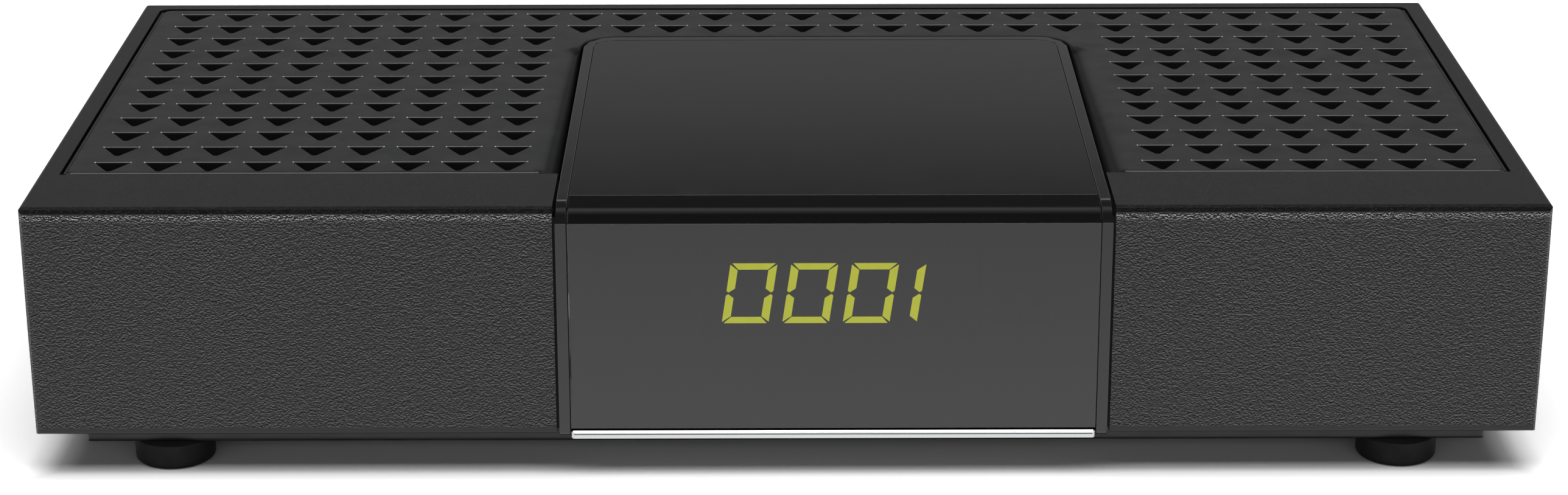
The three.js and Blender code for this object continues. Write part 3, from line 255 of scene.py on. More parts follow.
# %% Pads and turned pieces
def facing(points, way):
    """Turns points made with the third axis up so that it points to the rear."""
    x, y, z = np.moveaxis(np.asarray(points, float), -1, 0)
    return np.stack((x, z, y) if way == "back" else (x, y, z), -1)


def pad(outline, low, high, edge=0.0, steps=4, way="up"):
    """Outline raised from low to high. Near each end it draws in by edge * (1 - sin a) while its
    height moves by edge * (1 - cos a), a quarter circle."""
    angle = np.linspace(0, np.pi / 2, steps + 1) if edge else np.zeros(1)
    insets, rises = edge * (1 - np.sin(angle)), edge * (1 - np.cos(angle))
    heights = [*(low + rises), *(high - rises)[::-1]]
    rings = [np.column_stack([inset(outline, i) if i else outline, np.full(len(outline), h)])
             for i, h in zip([*insets, *insets[::-1]], heights)]
    points, faces = loft(rings)
    return facing(points, way), faces


def block(left, right, front, back, low, high, edge=0.0):
    """Box with rolled upright and level edges."""
    return pad(box_outline(left, right, front, back, edge, 3), low, high, edge, steps=3)


def angles_round(sides):
    """Even angles round a circle, from half a step on."""
    return 2 * np.pi * (np.arange(sides) + 0.5) / sides


def spun(radii, along, way="up"):
    """Points of rings round the third axis, from each ring's radii (one for every side) and its
    place along the axis."""
    angle = angles_round(radii.shape[1])
    along = np.broadcast_to(along[:, None], radii.shape)
    return facing(np.stack([radii * np.cos(angle), radii * np.sin(angle), along], -1), way)


def turned(profile, centre, sides=48, way="up"):
    """Spins a closed (radius, along) profile: each point becomes a ring, and points on the axis
    become poles once the doubles are merged."""
    radius, along = np.asarray(profile, float).T
    points = spun(np.repeat(radius[:, None], sides, 1), along, way)
    return points.reshape(-1, 3) + centre, grid_faces(len(radius), sides, close_rows=True)


print("points of a small block:", len(block(0, 1, 0, 1, 0, 1, 0.2)[0]))

# %% [markdown]
# ## Materials
#
# Every material starts from what the real one is. One function turns a written colour to light,
# and one adds a node. Patterns read Object coordinates, and their scales come from real sizes: a
# noise whose scale is 1 repeats about once a metre, so a grain of 0.4 mm needs a scale of 2500.

# %% Colour and nodes
# Sockets that share one name are called by number: the two terms of a Math node, and in a Mix or
# Mix Shader node the share, then the two numbers, colours or shaders that it mixes
TERM_A, TERM_B = 0, 1
SHARE, NUMBER_A, NUMBER_B, COLOUR_A, COLOUR_B, SHADER_A, SHADER_B = 0, 2, 3, 6, 7, 1, 2
MIXED_NUMBER, MIXED_COLOUR = 0, 2


def light_of(hex_colour):
    """sRGB hex value as linear light: c / 12.92 to 0.04045, else ((c + 0.055) / 1.055) ** 2.4."""
    value = np.array([int(hex_colour[i:i + 2], 16) for i in (0, 2, 4)]) / 255
    linear = np.where(value <= 0.04045, value / 12.92, ((value + 0.055) / 1.055) ** 2.4)
    return (*linear.tolist(), 1.0)


def add(tree, kind, sockets=None, **settings):
    """Adds one node: settings are its properties, sockets its inputs, each a value or an output to
    link."""
    made = tree.nodes.new("ShaderNode" + kind)
    for name, value in settings.items():
        setattr(made, name, value)
    for name, value in (sockets or {}).items():
        if isinstance(value, bpy.types.NodeSocket):
            tree.links.new(value, made.inputs[name])
        else:
            made.inputs[name].default_value = value
    return made


print("mid grey as light:", round(light_of("808080")[0], 3))

# %% [markdown]
# A new material starts from Blender's Principled shader. What is even over the whole surface is set
# on the shader's own sockets.

# %% A new material
def new_material(name, colour, roughness, **sockets):
    """Material whose even values sit on its shader's own sockets, and its node tree and shader."""
    made = bpy.data.materials.new(name)
    made.use_nodes = True
    shader = made.node_tree.nodes["Principled BSDF"]
    values = {"Base Color": light_of(colour), "Roughness": roughness, **sockets}
    for socket, value in values.items():
        shader.inputs[socket].default_value = value
    return made, made.node_tree, shader


def per_mm(size):
    """Scale of a noise whose grains are about size millimetres across."""
    return 1000 / size


def place_of(tree):
    """Object coordinates: metres in the frame, because every object is at the origin."""
    return add(tree, "TexCoord").outputs["Object"]


print("scale of a 0.4 mm grain:", per_mm(0.4))

# %% [markdown]
# Three things make a surface look made and not drawn: its colour is mottled a little, its gloss
# varies with it, and its height is never quite even. Each is a small function, because nearly
# every finish here uses them.

# %% Mottling, gloss and bump
def roughened(tree, shader, noise, low, high):
    """Roughness that goes from low to high with a noise, most of which lies from 0.3 to 0.7."""
    rough = add(tree, "MapRange", {"Value": noise, "From Min": 0.3, "From Max": 0.7,
                                   "To Min": low, "To Max": high})
    tree.links.new(rough.outputs["Result"], shader.inputs["Roughness"])


def varied(tree, shader, place, dark, pale, size, low, high):
    """Slow mottling of colour and gloss, as handling and moulding leave on any surface."""
    noise = add(tree, "TexNoise", {"Vector": place, "Scale": per_mm(size), "Detail": 3.0})
    mottle = noise.outputs["Fac"]
    colour = add(tree, "Mix", {SHARE: mottle, COLOUR_A: light_of(dark), COLOUR_B: light_of(pale)},
                 data_type="RGBA")
    tree.links.new(colour.outputs[MIXED_COLOUR], shader.inputs["Base Color"])
    roughened(tree, shader, mottle, low, high)


def bumped(tree, shader, height, depth, strength=1.0):
    """Bump whose height of 1 stands for a real depth in millimetres."""
    made = add(tree, "Bump", {"Height": height, "Distance": depth * MM, "Strength": strength})
    tree.links.new(made.outputs["Normal"], shader.inputs["Normal"])


def by_drop(tree, place, drops, upper, lower):
    """Value that goes smoothly from an upper to a lower one between two drops below the top."""
    height = add(tree, "SeparateXYZ", {"Vector": place}).outputs["Z"]
    sockets = {"Value": height, "From Min": below(drops[1]) * MM, "From Max": below(drops[0]) * MM,
               "To Min": lower, "To Max": upper}
    return add(tree, "MapRange", sockets, interpolation_type="SMOOTHSTEP").outputs["Result"]


print("height at a drop of 0.8 mm:", round(below(0.8), 2), "mm")

# %% [markdown]
# ## The housing's plastic
#
# The housing is ABS moulded in a steel tool whose upright walls were spark-eroded. That leaves a
# grain of fine wrinkles on the front and sides, a sixth of a millimetre from one to the next,
# which glitters where the front edge turns towards the light. The top frame and a narrow band
# along the lower edge came from a smoother part of the tool. So the grain's strength follows the
# height on the wall. Wrinkles cut as a mesh would need millions of faces, so they are bump and
# gloss, and their light is painted into the colour: each upper flank is painted paler as a
# highlight, most of all as a painted glitter along the front's rolled edge, and each lower flank
# mirrors less as painted shade.

# %% Grained ABS
GRAIN, GRAIN_DEPTH, GRAIN_RISE = 0.16, 0.12, 0.06
DRAWN_OUT = (0.7, 0.7, 1.0)  # share of each direction's places that the noise reads
# Mirror levels of the smooth top, of the grain, and of the lower flanks as painted shade, and the
# slopes over which an upper flank gets its painted highlight and a lower flank its painted shade
SMOOTH_LEVEL, GRAINED_LEVEL, SHADED_FLANK_LEVEL = 0.36, 0.38, 0.04
LIT_FLANK_SLOPE, SHADED_FLANK_SLOPE = (0.035, 0.14), (-0.13, -0.03)
# Between these drops the grain begins below the top, ends above the lower edge, and turns from the
# palest painted glint of the rolled edge to the painted highlight of the wall
GRAIN_BEGINS, GRAIN_ENDS, ROLL_GLINT_TONE, FAINT = (0.55, 0.8), (25.6, 25.9), (1.1, 1.5), 0.03


def grained_abs_painted_highlights():
    """The wrinkles are a noise drawn out along the walls. Their upper flanks, where the noise is
    higher than it is 0.06 mm further up, are painted paler as highlights, palest as a painted glint
    along the front's rolled edge, and their lower flanks mirror less as painted shade. A map of the
    height on the wall keeps the top and a band along the lower edge smooth."""
    made, tree, shader = new_material("grained_abs_painted_highlights", "121313", 0.34)
    place = place_of(tree)
    heights = []
    for rise in (0.0, GRAIN_RISE):
        drawn_out = add(tree, "Mapping", {"Vector": place, "Location": (0, 0, rise * MM),
                                          "Scale": DRAWN_OUT}).outputs["Vector"]
        noise = add(tree, "TexNoise", {"Vector": drawn_out, "Scale": per_mm(GRAIN), "Detail": 1.0})
        heights.append(noise.outputs["Fac"])
    slope = add(tree, "Math", {TERM_A: heights[0], TERM_B: heights[1]},
                operation="SUBTRACT").outputs["Value"]
    ridge = add(tree, "MapRange", {"Value": slope, "From Min": LIT_FLANK_SLOPE[0],
                                   "From Max": LIT_FLANK_SLOPE[1]})
    strength = add(tree, "Math", {TERM_A: by_drop(tree, place, GRAIN_BEGINS, FAINT, 1.0),
                                  TERM_B: by_drop(tree, place, GRAIN_ENDS, 1.0, FAINT)},
                   operation="MULTIPLY").outputs["Value"]
    # Painted highlight: the upper flanks' share of the pale colour
    painted_highlight = add(tree, "Math", {TERM_A: ridge.outputs["Result"], TERM_B: strength},
                 operation="MULTIPLY").outputs["Value"]
    # Painted glint: the pale colour is palest along the front's rolled edge
    pale = add(tree, "Mix", {SHARE: by_drop(tree, place, ROLL_GLINT_TONE, 1.0, 0.0),
                             COLOUR_A: light_of("6a6b69"), COLOUR_B: light_of("c4c5c3")},
               data_type="RGBA").outputs[MIXED_COLOUR]
    colour = add(tree, "Mix", {SHARE: painted_highlight, COLOUR_A: light_of("050606"), COLOUR_B: pale},
                 data_type="RGBA").outputs[MIXED_COLOUR]
    tree.links.new(colour, shader.inputs["Base Color"])
    # Painted shade: the lower flanks mirror less
    flank = add(tree, "MapRange", {"Value": slope, "From Min": SHADED_FLANK_SLOPE[0],
                                   "From Max": SHADED_FLANK_SLOPE[1],
                                   "To Min": SHADED_FLANK_LEVEL, "To Max": GRAINED_LEVEL})
    level = add(tree, "MapRange", {"Value": strength, "To Min": SMOOTH_LEVEL,
                                   "To Max": flank.outputs["Result"]}).outputs["Result"]
    tree.links.new(level, shader.inputs["Specular IOR Level"])
    bumped(tree, shader, heights[0], GRAIN_DEPTH, strength)
    return made


print("wrinkles:", GRAIN, "mm across")

# %% [markdown]
# The vent plate, tray and rear panel are the same ABS from satin parts of the tool. They have only
# a faint texture, one to three hundredths of a millimetre deep, which softens every reflection.
# The frame under the cover came from a polished tool. The feet are moulded rubber, very dark and
# dull, with a fine sandy surface. All of them are one recipe with other sizes: slow mottling and a
# bump.

# %% Satin, matte and polished mouldings
# Mirror levels of the satin flat and, as painted shade, of the vents' sides
SATIN_LEVEL, VENT_SHADE_LEVEL = 0.43, 0.05


def moulded(name, colours, patch, rough, grain, depth, detail=2.0, **sockets):
    """Mottled between two colours and two roughnesses, in patches of one size, and bumped by grains
    of another size and depth, all in millimetres."""
    made, tree, shader = new_material(name, colours[0], rough[0], **sockets)
    place = place_of(tree)
    varied(tree, shader, place, *colours, patch, *rough)
    noise = add(tree, "TexNoise", {"Vector": place, "Scale": per_mm(grain), "Detail": detail})
    bumped(tree, shader, noise.outputs["Fac"], depth)
    return made


def satin_abs(name, dark, pale, roughness, grain=0.15, depth=0.008):
    """Satin moulding, its roughness 0.04 below to 0.06 above the middle one."""
    return moulded(name, (dark, pale), 4.0, (roughness - 0.04, roughness + 0.06), grain, depth,
                   **{"Specular IOR Level": SATIN_LEVEL})


def vent_abs_painted_shade():
    """Satin ABS that mirrors less and less down to 0.4 mm below the top, as painted shade: the
    sides of the vents and the channels beside the cover look blacker."""
    made = satin_abs("vent_abs_painted_shade", "151616", "1c1d1d", 0.32)
    tree = made.node_tree
    # Painted shade: the mirror's level falls with depth in the vents and the channels
    level = by_drop(tree, place_of(tree), (0.02, 0.4), SATIN_LEVEL, VENT_SHADE_LEVEL)
    tree.links.new(level, tree.nodes["Principled BSDF"].inputs["Specular IOR Level"])
    return made


def polished_abs():
    """Gloss black with a very slight waviness, as thin mouldings have."""
    return moulded("polished_abs", ("151516", "19191a"), 6.0, (0.07, 0.12), 14.0, 0.01, detail=0.0,
                   IOR=1.5)


def moulded_rubber():
    """Rubber: a high roughness, a weak mirror and a little sheen."""
    sockets = {"Specular IOR Level": 0.2, "Sheen Weight": 0.05, "Sheen Roughness": 0.5}
    return moulded("moulded_rubber", ("050506", "09090a"), 1.5, (0.64, 0.8), 0.2, 0.03, **sockets)


print("the vent plate mirrors", SATIN_LEVEL, "on its flat and", VENT_SHADE_LEVEL, "in its vents")

# %% [markdown]
# The window is acrylic dyed almost black. An eighth of the light comes straight through it, enough
# for the lit digits, while the unlit parts behind stay hidden. A clear path beside a glossy black
# surface is steadier than refraction in so thin a sheet, and the export keeps it as plain
# transparency. Its hard coat mirrors a little more than bare acrylic does, so the index is 1.6.
#
# Metals differ in colour and in how their surface was finished. Plating over polished brass or
# plastic is mirror bright. Tinned sheet is rolled, so it has long faint streaks, and zinc on steel
# is a little milky.

# %% Smoked acrylic and metals
OPACITY = 0.87


def smoked_acrylic():
    """Nearly even gloss with a faint smear, a wave 18 mm long, and plain transparency."""
    made, tree, shader = new_material("smoked_acrylic", "0e0e10", 0.06, IOR=1.6, Alpha=OPACITY)
    place = place_of(tree)
    smear = add(tree, "TexNoise", {"Vector": place, "Scale": per_mm(5.0), "Detail": 2.0})
    roughened(tree, shader, smear.outputs["Fac"], 0.05, 0.09)
    wave = add(tree, "TexNoise", {"Vector": place, "Scale": per_mm(18.0), "Detail": 0.0})
    bumped(tree, shader, wave.outputs["Fac"], 0.008)
    return made


def plated(name, colour, roughness, streak=0.0):
    """Metal whose gloss varies by grains 0.8 mm across, drawn out to streaks along Y if asked."""
    made, tree, shader = new_material(name, colour, roughness, Metallic=1.0)
    place = place_of(tree)
    if streak:
        drawn = add(tree, "Mapping", {"Vector": place, "Scale": (1.0, streak, 1.0)})
        place = drawn.outputs["Vector"]
    noise = add(tree, "TexNoise", {"Vector": place, "Scale": per_mm(0.8), "Detail": 3.0})
    roughened(tree, shader, noise.outputs["Fac"], roughness * 0.8, roughness * 1.3)
    bumped(tree, shader, noise.outputs["Fac"], 0.004)
    return made


print("light through the window:", round(1 - OPACITY, 2))

# %% [markdown]
# The light bars are tinted resin lit from behind, so they give light themselves, and the smoked
# window in front of them takes most of it away again. Their strength is set so that what passes
# the window matches the real digits. The board is laminate under green lacquer, with copper tracks
# that show through it as paler lines.

# %% Light bars and board
GLOW = 6.8
TRACK_SCALE = 312.5  # a wave texture's stripes lie pi / 10 / scale metres apart: here 1 mm


def lit_resin():
    """Resin that gives light, its colour a little uneven."""
    made, tree, shader = new_material("lit_resin", "b1b51a", 0.4, **{"Emission Strength": GLOW})
    glow = add(tree, "TexNoise", {"Vector": place_of(tree), "Scale": per_mm(1.2), "Detail": 1.0})
    colour = add(tree, "Mix", {SHARE: glow.outputs["Fac"], COLOUR_A: light_of("acb000"),
                               COLOUR_B: light_of("b6ba00")}, data_type="RGBA")
    tree.links.new(colour.outputs[MIXED_COLOUR], shader.inputs["Emission Color"])
    return made


def solder_mask():
    """Three stripe patterns: across X, across Y and slanting. Squarish cells about 9 mm wide, each
    with a chance colour of its own, say which of them shows there."""
    made, tree, shader = new_material("solder_mask", "1c5a33", 0.35, IOR=1.52)
    place = place_of(tree)
    slanted = add(tree, "Mapping", {"Vector": place, "Rotation": (0.0, 0.0, np.pi / 4)})
    cell = add(tree, "TexVoronoi", {"Vector": place, "Scale": per_mm(9.0)},
               feature="F1", distance="CHEBYCHEV")
    draw = add(tree, "SeparateColor", {"Color": cell.outputs["Color"]})
    stripes = [add(tree, "TexWave", {"Vector": vector, "Scale": TRACK_SCALE}, bands_direction=way)
               for vector, way in ((place, "X"), (place, "Y"), (slanted.outputs["Vector"], "X"))]
    shown = stripes[0].outputs["Fac"]
    for channel, above, other in (("Red", 0.5, stripes[1]), ("Green", 0.72, stripes[2])):
        chosen = add(tree, "Math", {TERM_A: draw.outputs[channel], TERM_B: above},
                     operation="GREATER_THAN").outputs["Value"]
        shown = add(tree, "Mix", {SHARE: chosen, NUMBER_A: shown, NUMBER_B: other.outputs["Fac"]}
                    ).outputs[MIXED_NUMBER]
    track = add(tree, "MapRange", {"Value": shown, "From Min": 0.62, "From Max": 0.72})
    colour = add(tree, "Mix", {SHARE: track.outputs["Result"], COLOUR_A: light_of("123f24"),
                               COLOUR_B: light_of("1f6338")}, data_type="RGBA")
    tree.links.new(colour.outputs[MIXED_COLOUR], shader.inputs["Base Color"])
    bumped(tree, shader, track.outputs["Result"], 0.035)
    return made


print("tracks:", round(np.pi / 10 / TRACK_SCALE / MM, 2), "mm apart")

# %% [markdown]
# The record names one material slot for each CAD node. One table gives every slot its finish, and
# a few more finishes are for pieces that only this scene has.

# %% The finishes
FINISH = {
    "housing_plastic": grained_abs_painted_highlights(),
    "grille_plastic": vent_abs_painted_shade(),
    "gloss_plastic": polished_abs(),
    "smoked_acrylic": smoked_acrylic(),
    "bright_plating": plated("bright_chrome_plate", "b4b5b6", 0.07),
    "tray_plastic": satin_abs("matte_abs", "0f1011", "151617", 0.5, 0.25, 0.02),
    "panel_plastic": satin_abs("panel_abs", "1e1e1f", "272728", 0.48, 0.3, 0.03),
    "foot_rubber": moulded_rubber(),
    "nickel": plated("nickel_plate", "c6c1b5", 0.2),
    "tin_plate": plated("tinned_sheet", "c3c5c8", 0.26, 0.08),
    "zinc_steel": plated("zinc_plate", "b2b4b6", 0.3),
    "fin_aluminium": plated("extruded_aluminium", "a8aaae", 0.34, 0.06),
    "board_laminate": solder_mask(),
    "socket_plastic": satin_abs("glass_filled_pbt", "151516", "1d1d1e", 0.42, 0.2, 0.01),
    "chip_resin": satin_abs("moulded_epoxy", "1a1a1b", "222223", 0.5, 0.12, 0.01),
    "can_sleeve": satin_abs("shrunk_pvc", "14141a", "1b1b22", 0.22, 0.6, 0.004),
    "ferrite": satin_abs("pressed_ferrite", "38383a", "444446", 0.6, 0.2, 0.03),
    "display_case": satin_abs("grey_polycarbonate", "0c0c0d", "101011", 0.5),
    "light_bars": lit_resin(),
}
# Pale paints for the painted highlights and glints on the vents' edges
EDGE_HIGHLIGHT_PAINT = new_material("painted_highlight_abs", "9a9b99", 0.5)[0]
CORNER_GLINT_PAINT = new_material("painted_glint", "fafaf8", 0.4)[0]
CLEAR = new_material("clear_acrylic", "0e0e10", 0.1, IOR=1.0, Alpha=0.04)[0]
GOLD = plated("gold_flash", "e0b962", 0.2)
BRASS = plated("turned_brass", "c9a04f", 0.25, 0.1)
PTFE = satin_abs("white_ptfe", "d6d4cc", "e4e2da", 0.4)
ORANGE = satin_abs("orange_polypropylene", "d8661a", "e27024", 0.4)
UNLIT = satin_abs("unlit_resin", "0f100d", "131410", 0.5)
PAINT_WHITE = satin_abs("white_print", "d9d9d6", "e2e2df", 0.5)
print("finishes:", len(bpy.data.materials))

# %% [markdown]
# ## Camera, floor and light
#
# The photograph was taken from in front and a little above, so close that the rear of the top
# looks a sixth narrower than the front. The camera's place, tilt and lens were fitted to the
# corners of the body. Its frame is wide and low, so the lens is given for the frame's width.

# %% Camera
CAMERA_PLACE, CAMERA_TILT = (-1.4, -403.5, 154.2), (90 - 19.58, 0.06, -0.21)
LENS, SENSOR = 79.41, 36.0

camera_data = bpy.data.cameras.new("camera")
camera_data.sensor_fit, camera_data.sensor_width, camera_data.lens = "HORIZONTAL", SENSOR, LENS
camera_data.clip_start, camera_data.clip_end = 0.01, 20.0
camera = bpy.data.objects.new("camera", camera_data)
camera.location = np.array(CAMERA_PLACE) * MM
camera.rotation_euler = Euler(np.radians(CAMERA_TILT), "XYZ")
bpy.context.collection.objects.link(camera)
bpy.context.scene.camera = camera
print("camera at", [round(v, 4) for v in camera.location])

# %% [markdown]
# The floor is a plain white sheet that clips to white and keeps only the deep shade under the
# body. To the camera its white is raised, and lowered under the body as painted shade on top of
# the real shadow. Glossy surfaces mirror a glowing white, brighter near the body as a painted pool
# of light and nearly black under it as painted shade. To every other ray it is ordinary white
# paint, so the object isn't lit more than it should be.

# %% Floor paint
# The mirrored glow is a painted pool of light near the body, and painted shade under it
FADE_START, FADE_END, SHADE_EDGE = 15, 95, 2  # millimetres from the body's outline
NEAR_WHITE, FAR_WHITE, SHADE_WHITE = 1.5, 1.15, 0.02  # what glossy surfaces mirror
SEEN_IN_SHADE, SEEN_OUTSIDE, PAINT = 0.9, 2.0, 0.85  # what the camera and all other rays meet


def grey(value):
    """Colour with one value, already as light, in its three channels."""
    return (value, value, value, 1.0)


def distance_from_body(tree):
    """How far a place on the floor is outside the body's outline, below 0 under the body: the
    larger of |x| less half the width and |y| less half the depth."""
    x, y, _ = add(tree, "SeparateXYZ", {"Vector": place_of(tree)}).outputs
    gaps = []
    for value, half in ((x, BODY_HALF), (y, -FRONT)):
        size = add(tree, "Math", {TERM_A: value}, operation="ABSOLUTE").outputs["Value"]
        gaps.append(add(tree, "Math", {TERM_A: size, TERM_B: half * MM},
                        operation="SUBTRACT").outputs["Value"])
    return add(tree, "Math", {TERM_A: gaps[0], TERM_B: gaps[1]},
               operation="MAXIMUM").outputs["Value"]


def white_floor():
    """White paint. What glossy surfaces mirror of it is a glow, even apart from a painted pool of
    light that fades with distance from the body and painted shade under it. Seen directly, it is
    whiter outside that shade, and the shade is painted darker on top of the real shadow."""
    made, tree, shader = new_material("white_floor", "f2f2f2", 0.9)
    tree.nodes.remove(shader)
    gap = distance_from_body(tree)
    fade = add(tree, "MapRange", {"Value": gap, "From Min": FADE_START * MM,
                                  "From Max": FADE_END * MM, "To Min": NEAR_WHITE,
                                  "To Max": FAR_WHITE}).outputs["Result"]
    shade = add(tree, "MapRange", {"Value": gap, "From Min": -SHADE_EDGE * MM,
                                   "From Max": SHADE_EDGE * MM, "To Min": SHADE_WHITE,
                                   "To Max": 1.0}).outputs["Result"]
    mirrored = add(tree, "Math", {TERM_A: fade, TERM_B: shade}, operation="MULTIPLY")
    seen_white = add(tree, "Mix", {SHARE: shade, COLOUR_A: grey(SEEN_IN_SHADE),
                                   COLOUR_B: grey(SEEN_OUTSIDE)}, data_type="RGBA")
    bounced = add(tree, "BsdfDiffuse", {"Color": grey(PAINT)})
    seen = add(tree, "BsdfDiffuse", {"Color": seen_white.outputs[MIXED_COLOUR]})
    shown = add(tree, "Emission", {"Strength": mirrored.outputs["Value"]})
    path = add(tree, "LightPath").outputs
    sharp = add(tree, "Math", {TERM_A: path["Is Glossy Ray"], TERM_B: path["Is Transmission Ray"]},
                operation="MAXIMUM").outputs["Value"]
    matte = add(tree, "MixShader", {SHARE: path["Is Camera Ray"], SHADER_A: bounced.outputs["BSDF"],
                                    SHADER_B: seen.outputs["BSDF"]})
    last = add(tree, "MixShader", {SHARE: sharp, SHADER_A: matte.outputs["Shader"],
                                   SHADER_B: shown.outputs["Emission"]})
    tree.links.new(last.outputs["Shader"], tree.nodes["Material Output"].inputs["Surface"])
    return made


print("shade under the body: white", SEEN_IN_SHADE, "and outside it", SEEN_OUTSIDE)

# %% Floor
FLOOR_HALF = 4.0  # metres
floor_mesh = bpy.data.meshes.new("floor")
floor_mesh.from_pydata([(x * FLOOR_HALF, y * FLOOR_HALF, 0) for x, y in
                        ((-1, -1), (1, -1), (1, 1), (-1, 1))], [], [(0, 1, 2, 3)])
floor_mesh.materials.append(white_floor())
floor = bpy.data.objects.new("floor", floor_mesh)
bpy.context.collection.objects.link(floor)
print("floor:", 2 * FLOOR_HALF, "m square")

# %% [markdown]
# The studio has long light banks that lie across, in line with the body's width. A big one above
# and in front lights every surface evenly and throws the short shadow, and it isn't mirrored. A
# low narrow one in front is only mirrored: it draws the bright lines on edges that face forwards.
# A third one behind lights the rear.

# %% Lamps
AIM = (0, 0, 15)  # a place inside the body, which every bank faces


def soft_lamp(name, place, size, power, mirrored=True, lights=True):
    """A bank that faces the body. One that isn't mirrored adds light without a highlight."""
    data = bpy.data.lights.new(name, "AREA")
    data.shape, data.energy = "RECTANGLE", power
    data.size, data.size_y = size[0] * MM, size[1] * MM
    lamp = bpy.data.objects.new(name, data)
    lamp.location = np.array(place) * MM
    lamp.rotation_euler = Vector(np.subtract(place, AIM)).to_track_quat("Z", "Y").to_euler()
    lamp.visible_glossy, lamp.visible_diffuse, lamp.visible_camera = mirrored, lights, False
    bpy.context.collection.objects.link(lamp)


soft_lamp("key bank", (0, -420, 930), (1600, 500), 8.0, mirrored=False)
soft_lamp("low bank", (0, -815, 575), (2500, 200), 7.9, lights=False)
soft_lamp("rear bank", (150, 800, 800), (1200, 400), 3.0, mirrored=False)
print("lamps:", [light.name for light in bpy.data.lights if "bank" in light.name])

# %% [markdown]
# The room itself is dim, with a pale horizon that the polished top mirrors at its flat angle, and
# a soft bank overhead. Its light is drawn as bands by the angle up from the rear horizon, over the
# body and down to the front one. Matte surfaces get only an eighth of it.

# %% Room
BANDS = ((0, 0.3), (15.5, 0.29), (17.4, 0.22), (18.8, 0.1), (22.7, 0.05), (23.2, 1.5),
         (23.9, 1.5), (24.4, 0.05), (40, 0.05), (62, 0.6), (80, 0.3), (95, 0.05), (148, 0.05),
         (151, 1.5), (167, 1.5), (170, 0.2))  # degrees, and the light that comes from there
HALF_TURN = 180
ROOM_ON_MATTE = 0.13

world = bpy.data.worlds.new("room")
bpy.context.scene.world = world
world.use_nodes = True
room = world.node_tree
room.nodes.clear()
way = add(room, "SeparateXYZ", {"Vector": add(room, "TexCoord").outputs["Generated"]}).outputs
turn = add(room, "Math", {TERM_A: way["Z"], TERM_B: way["Y"]}, operation="ARCTAN2").outputs["Value"]
share = add(room, "Math", {TERM_A: turn, TERM_B: float(np.pi)}, operation="DIVIDE").outputs["Value"]
ramp = add(room, "ValToRGB", {"Fac": share})
marks = ramp.color_ramp.elements
for stop, (degrees, value) in enumerate(BANDS):
    mark = marks[stop] if stop < 2 else marks.new(degrees / HALF_TURN)
    mark.position, mark.color = degrees / HALF_TURN, grey(value)
matte_ray = add(room, "LightPath").outputs["Is Diffuse Ray"]
strength = add(room, "MapRange", {"Value": matte_ray, "To Min": 1.0, "To Max": ROOM_ON_MATTE})
backdrop = add(room, "Background", {"Color": ramp.outputs["Color"],
                                    "Strength": strength.outputs["Result"]})
add(room, "OutputWorld", {"Surface": backdrop.outputs["Background"]})
bpy.context.scene.view_settings.view_transform = "Standard"
print("bands of the room:", len(marks))

# %% [markdown]
# ## CAD nodes as finished pieces
#
# Many CAD nodes already have the right shape. Each is copied, its loose triangles are merged, its
# level triangles are joined to larger faces, and its sharp edges get a narrow bevel, because a
# real moulded or stamped edge is never sharp and its thin highlight is what makes it look made.

# %% Copies of CAD nodes
SLOT_OF = {row["node"]: row["material_slot"] for row in frame["record"]["subparts"]}
NODE_MERGE = 2e-6  # metres
LEVEL_ANGLE, ROLLED_ANGLE = 0.5, 12  # degrees: below the first, faces join; above the second, roll


def merged_copy(name):
    """A copy of a CAD node's mesh without its doubles and the lines across its level faces."""
    mesh = nodes[name].data.copy()
    mesh.name = name + "_finished"
    work = bmesh.new()
    work.from_mesh(mesh)
    bmesh.ops.remove_doubles(work, verts=work.verts, dist=NODE_MERGE)
    bmesh.ops.dissolve_limit(work, angle_limit=np.radians(LEVEL_ANGLE), verts=work.verts,
                             edges=work.edges)
    work.to_mesh(mesh)
    work.free()
    return mesh


def edge_shares(mesh, share_at):
    """Share of a bevel's width for each edge that bends: share_at gives it from their middles."""
    work = bmesh.new()
    work.from_mesh(mesh)
    bends = np.array([line.calc_face_angle(0.0) for line in work.edges])
    work.free()
    points, ends = np.empty(len(mesh.vertices) * 3), np.empty(len(mesh.edges) * 2, int)
    mesh.vertices.foreach_get("co", points)
    mesh.edges.foreach_get("vertices", ends)
    middles = points.reshape(-1, 3)[ends.reshape(-1, 2)].mean(1) / MM
    return np.where(bends > np.radians(ROLLED_ANGLE), share_at(middles), 0.0)


def refined(name, edge, crease, body, share_at=None):
    """A merged copy of a CAD node with rolled edges, in the finish of the node's slot. With
    share_at, each edge rolls by its own share of the width."""
    mesh = merged_copy(name)
    mesh.materials.clear()
    mesh.materials.append(FINISH[SLOT_OF[name]])
    _, bevel = finished(name + "_finished", mesh, [name], body, crease, edge, 2)
    if share_at:
        shares = mesh.attributes.new("bevel_weight_edge", "FLOAT", "EDGE")
        shares.data.foreach_set("value", edge_shares(mesh, share_at))
        bevel.limit_method, bevel.segments = "WEIGHT", 3


print("nodes with a slot:", len(SLOT_OF))

# %% [markdown]
# ## The perforated plate
#
# The plate is one moulding: a U round the cover, 216 small triangular vents, and a surface that
# falls away beside the cover. Cutting 216 holes with Boolean modifiers is slow and leaves poor
# edges. Here the plan is drawn as closed lines, a Delaunay triangulation fills it, and a height is
# worked out for every point, so each hole's rolled edge and the fall beside the cover are part of
# one surface.

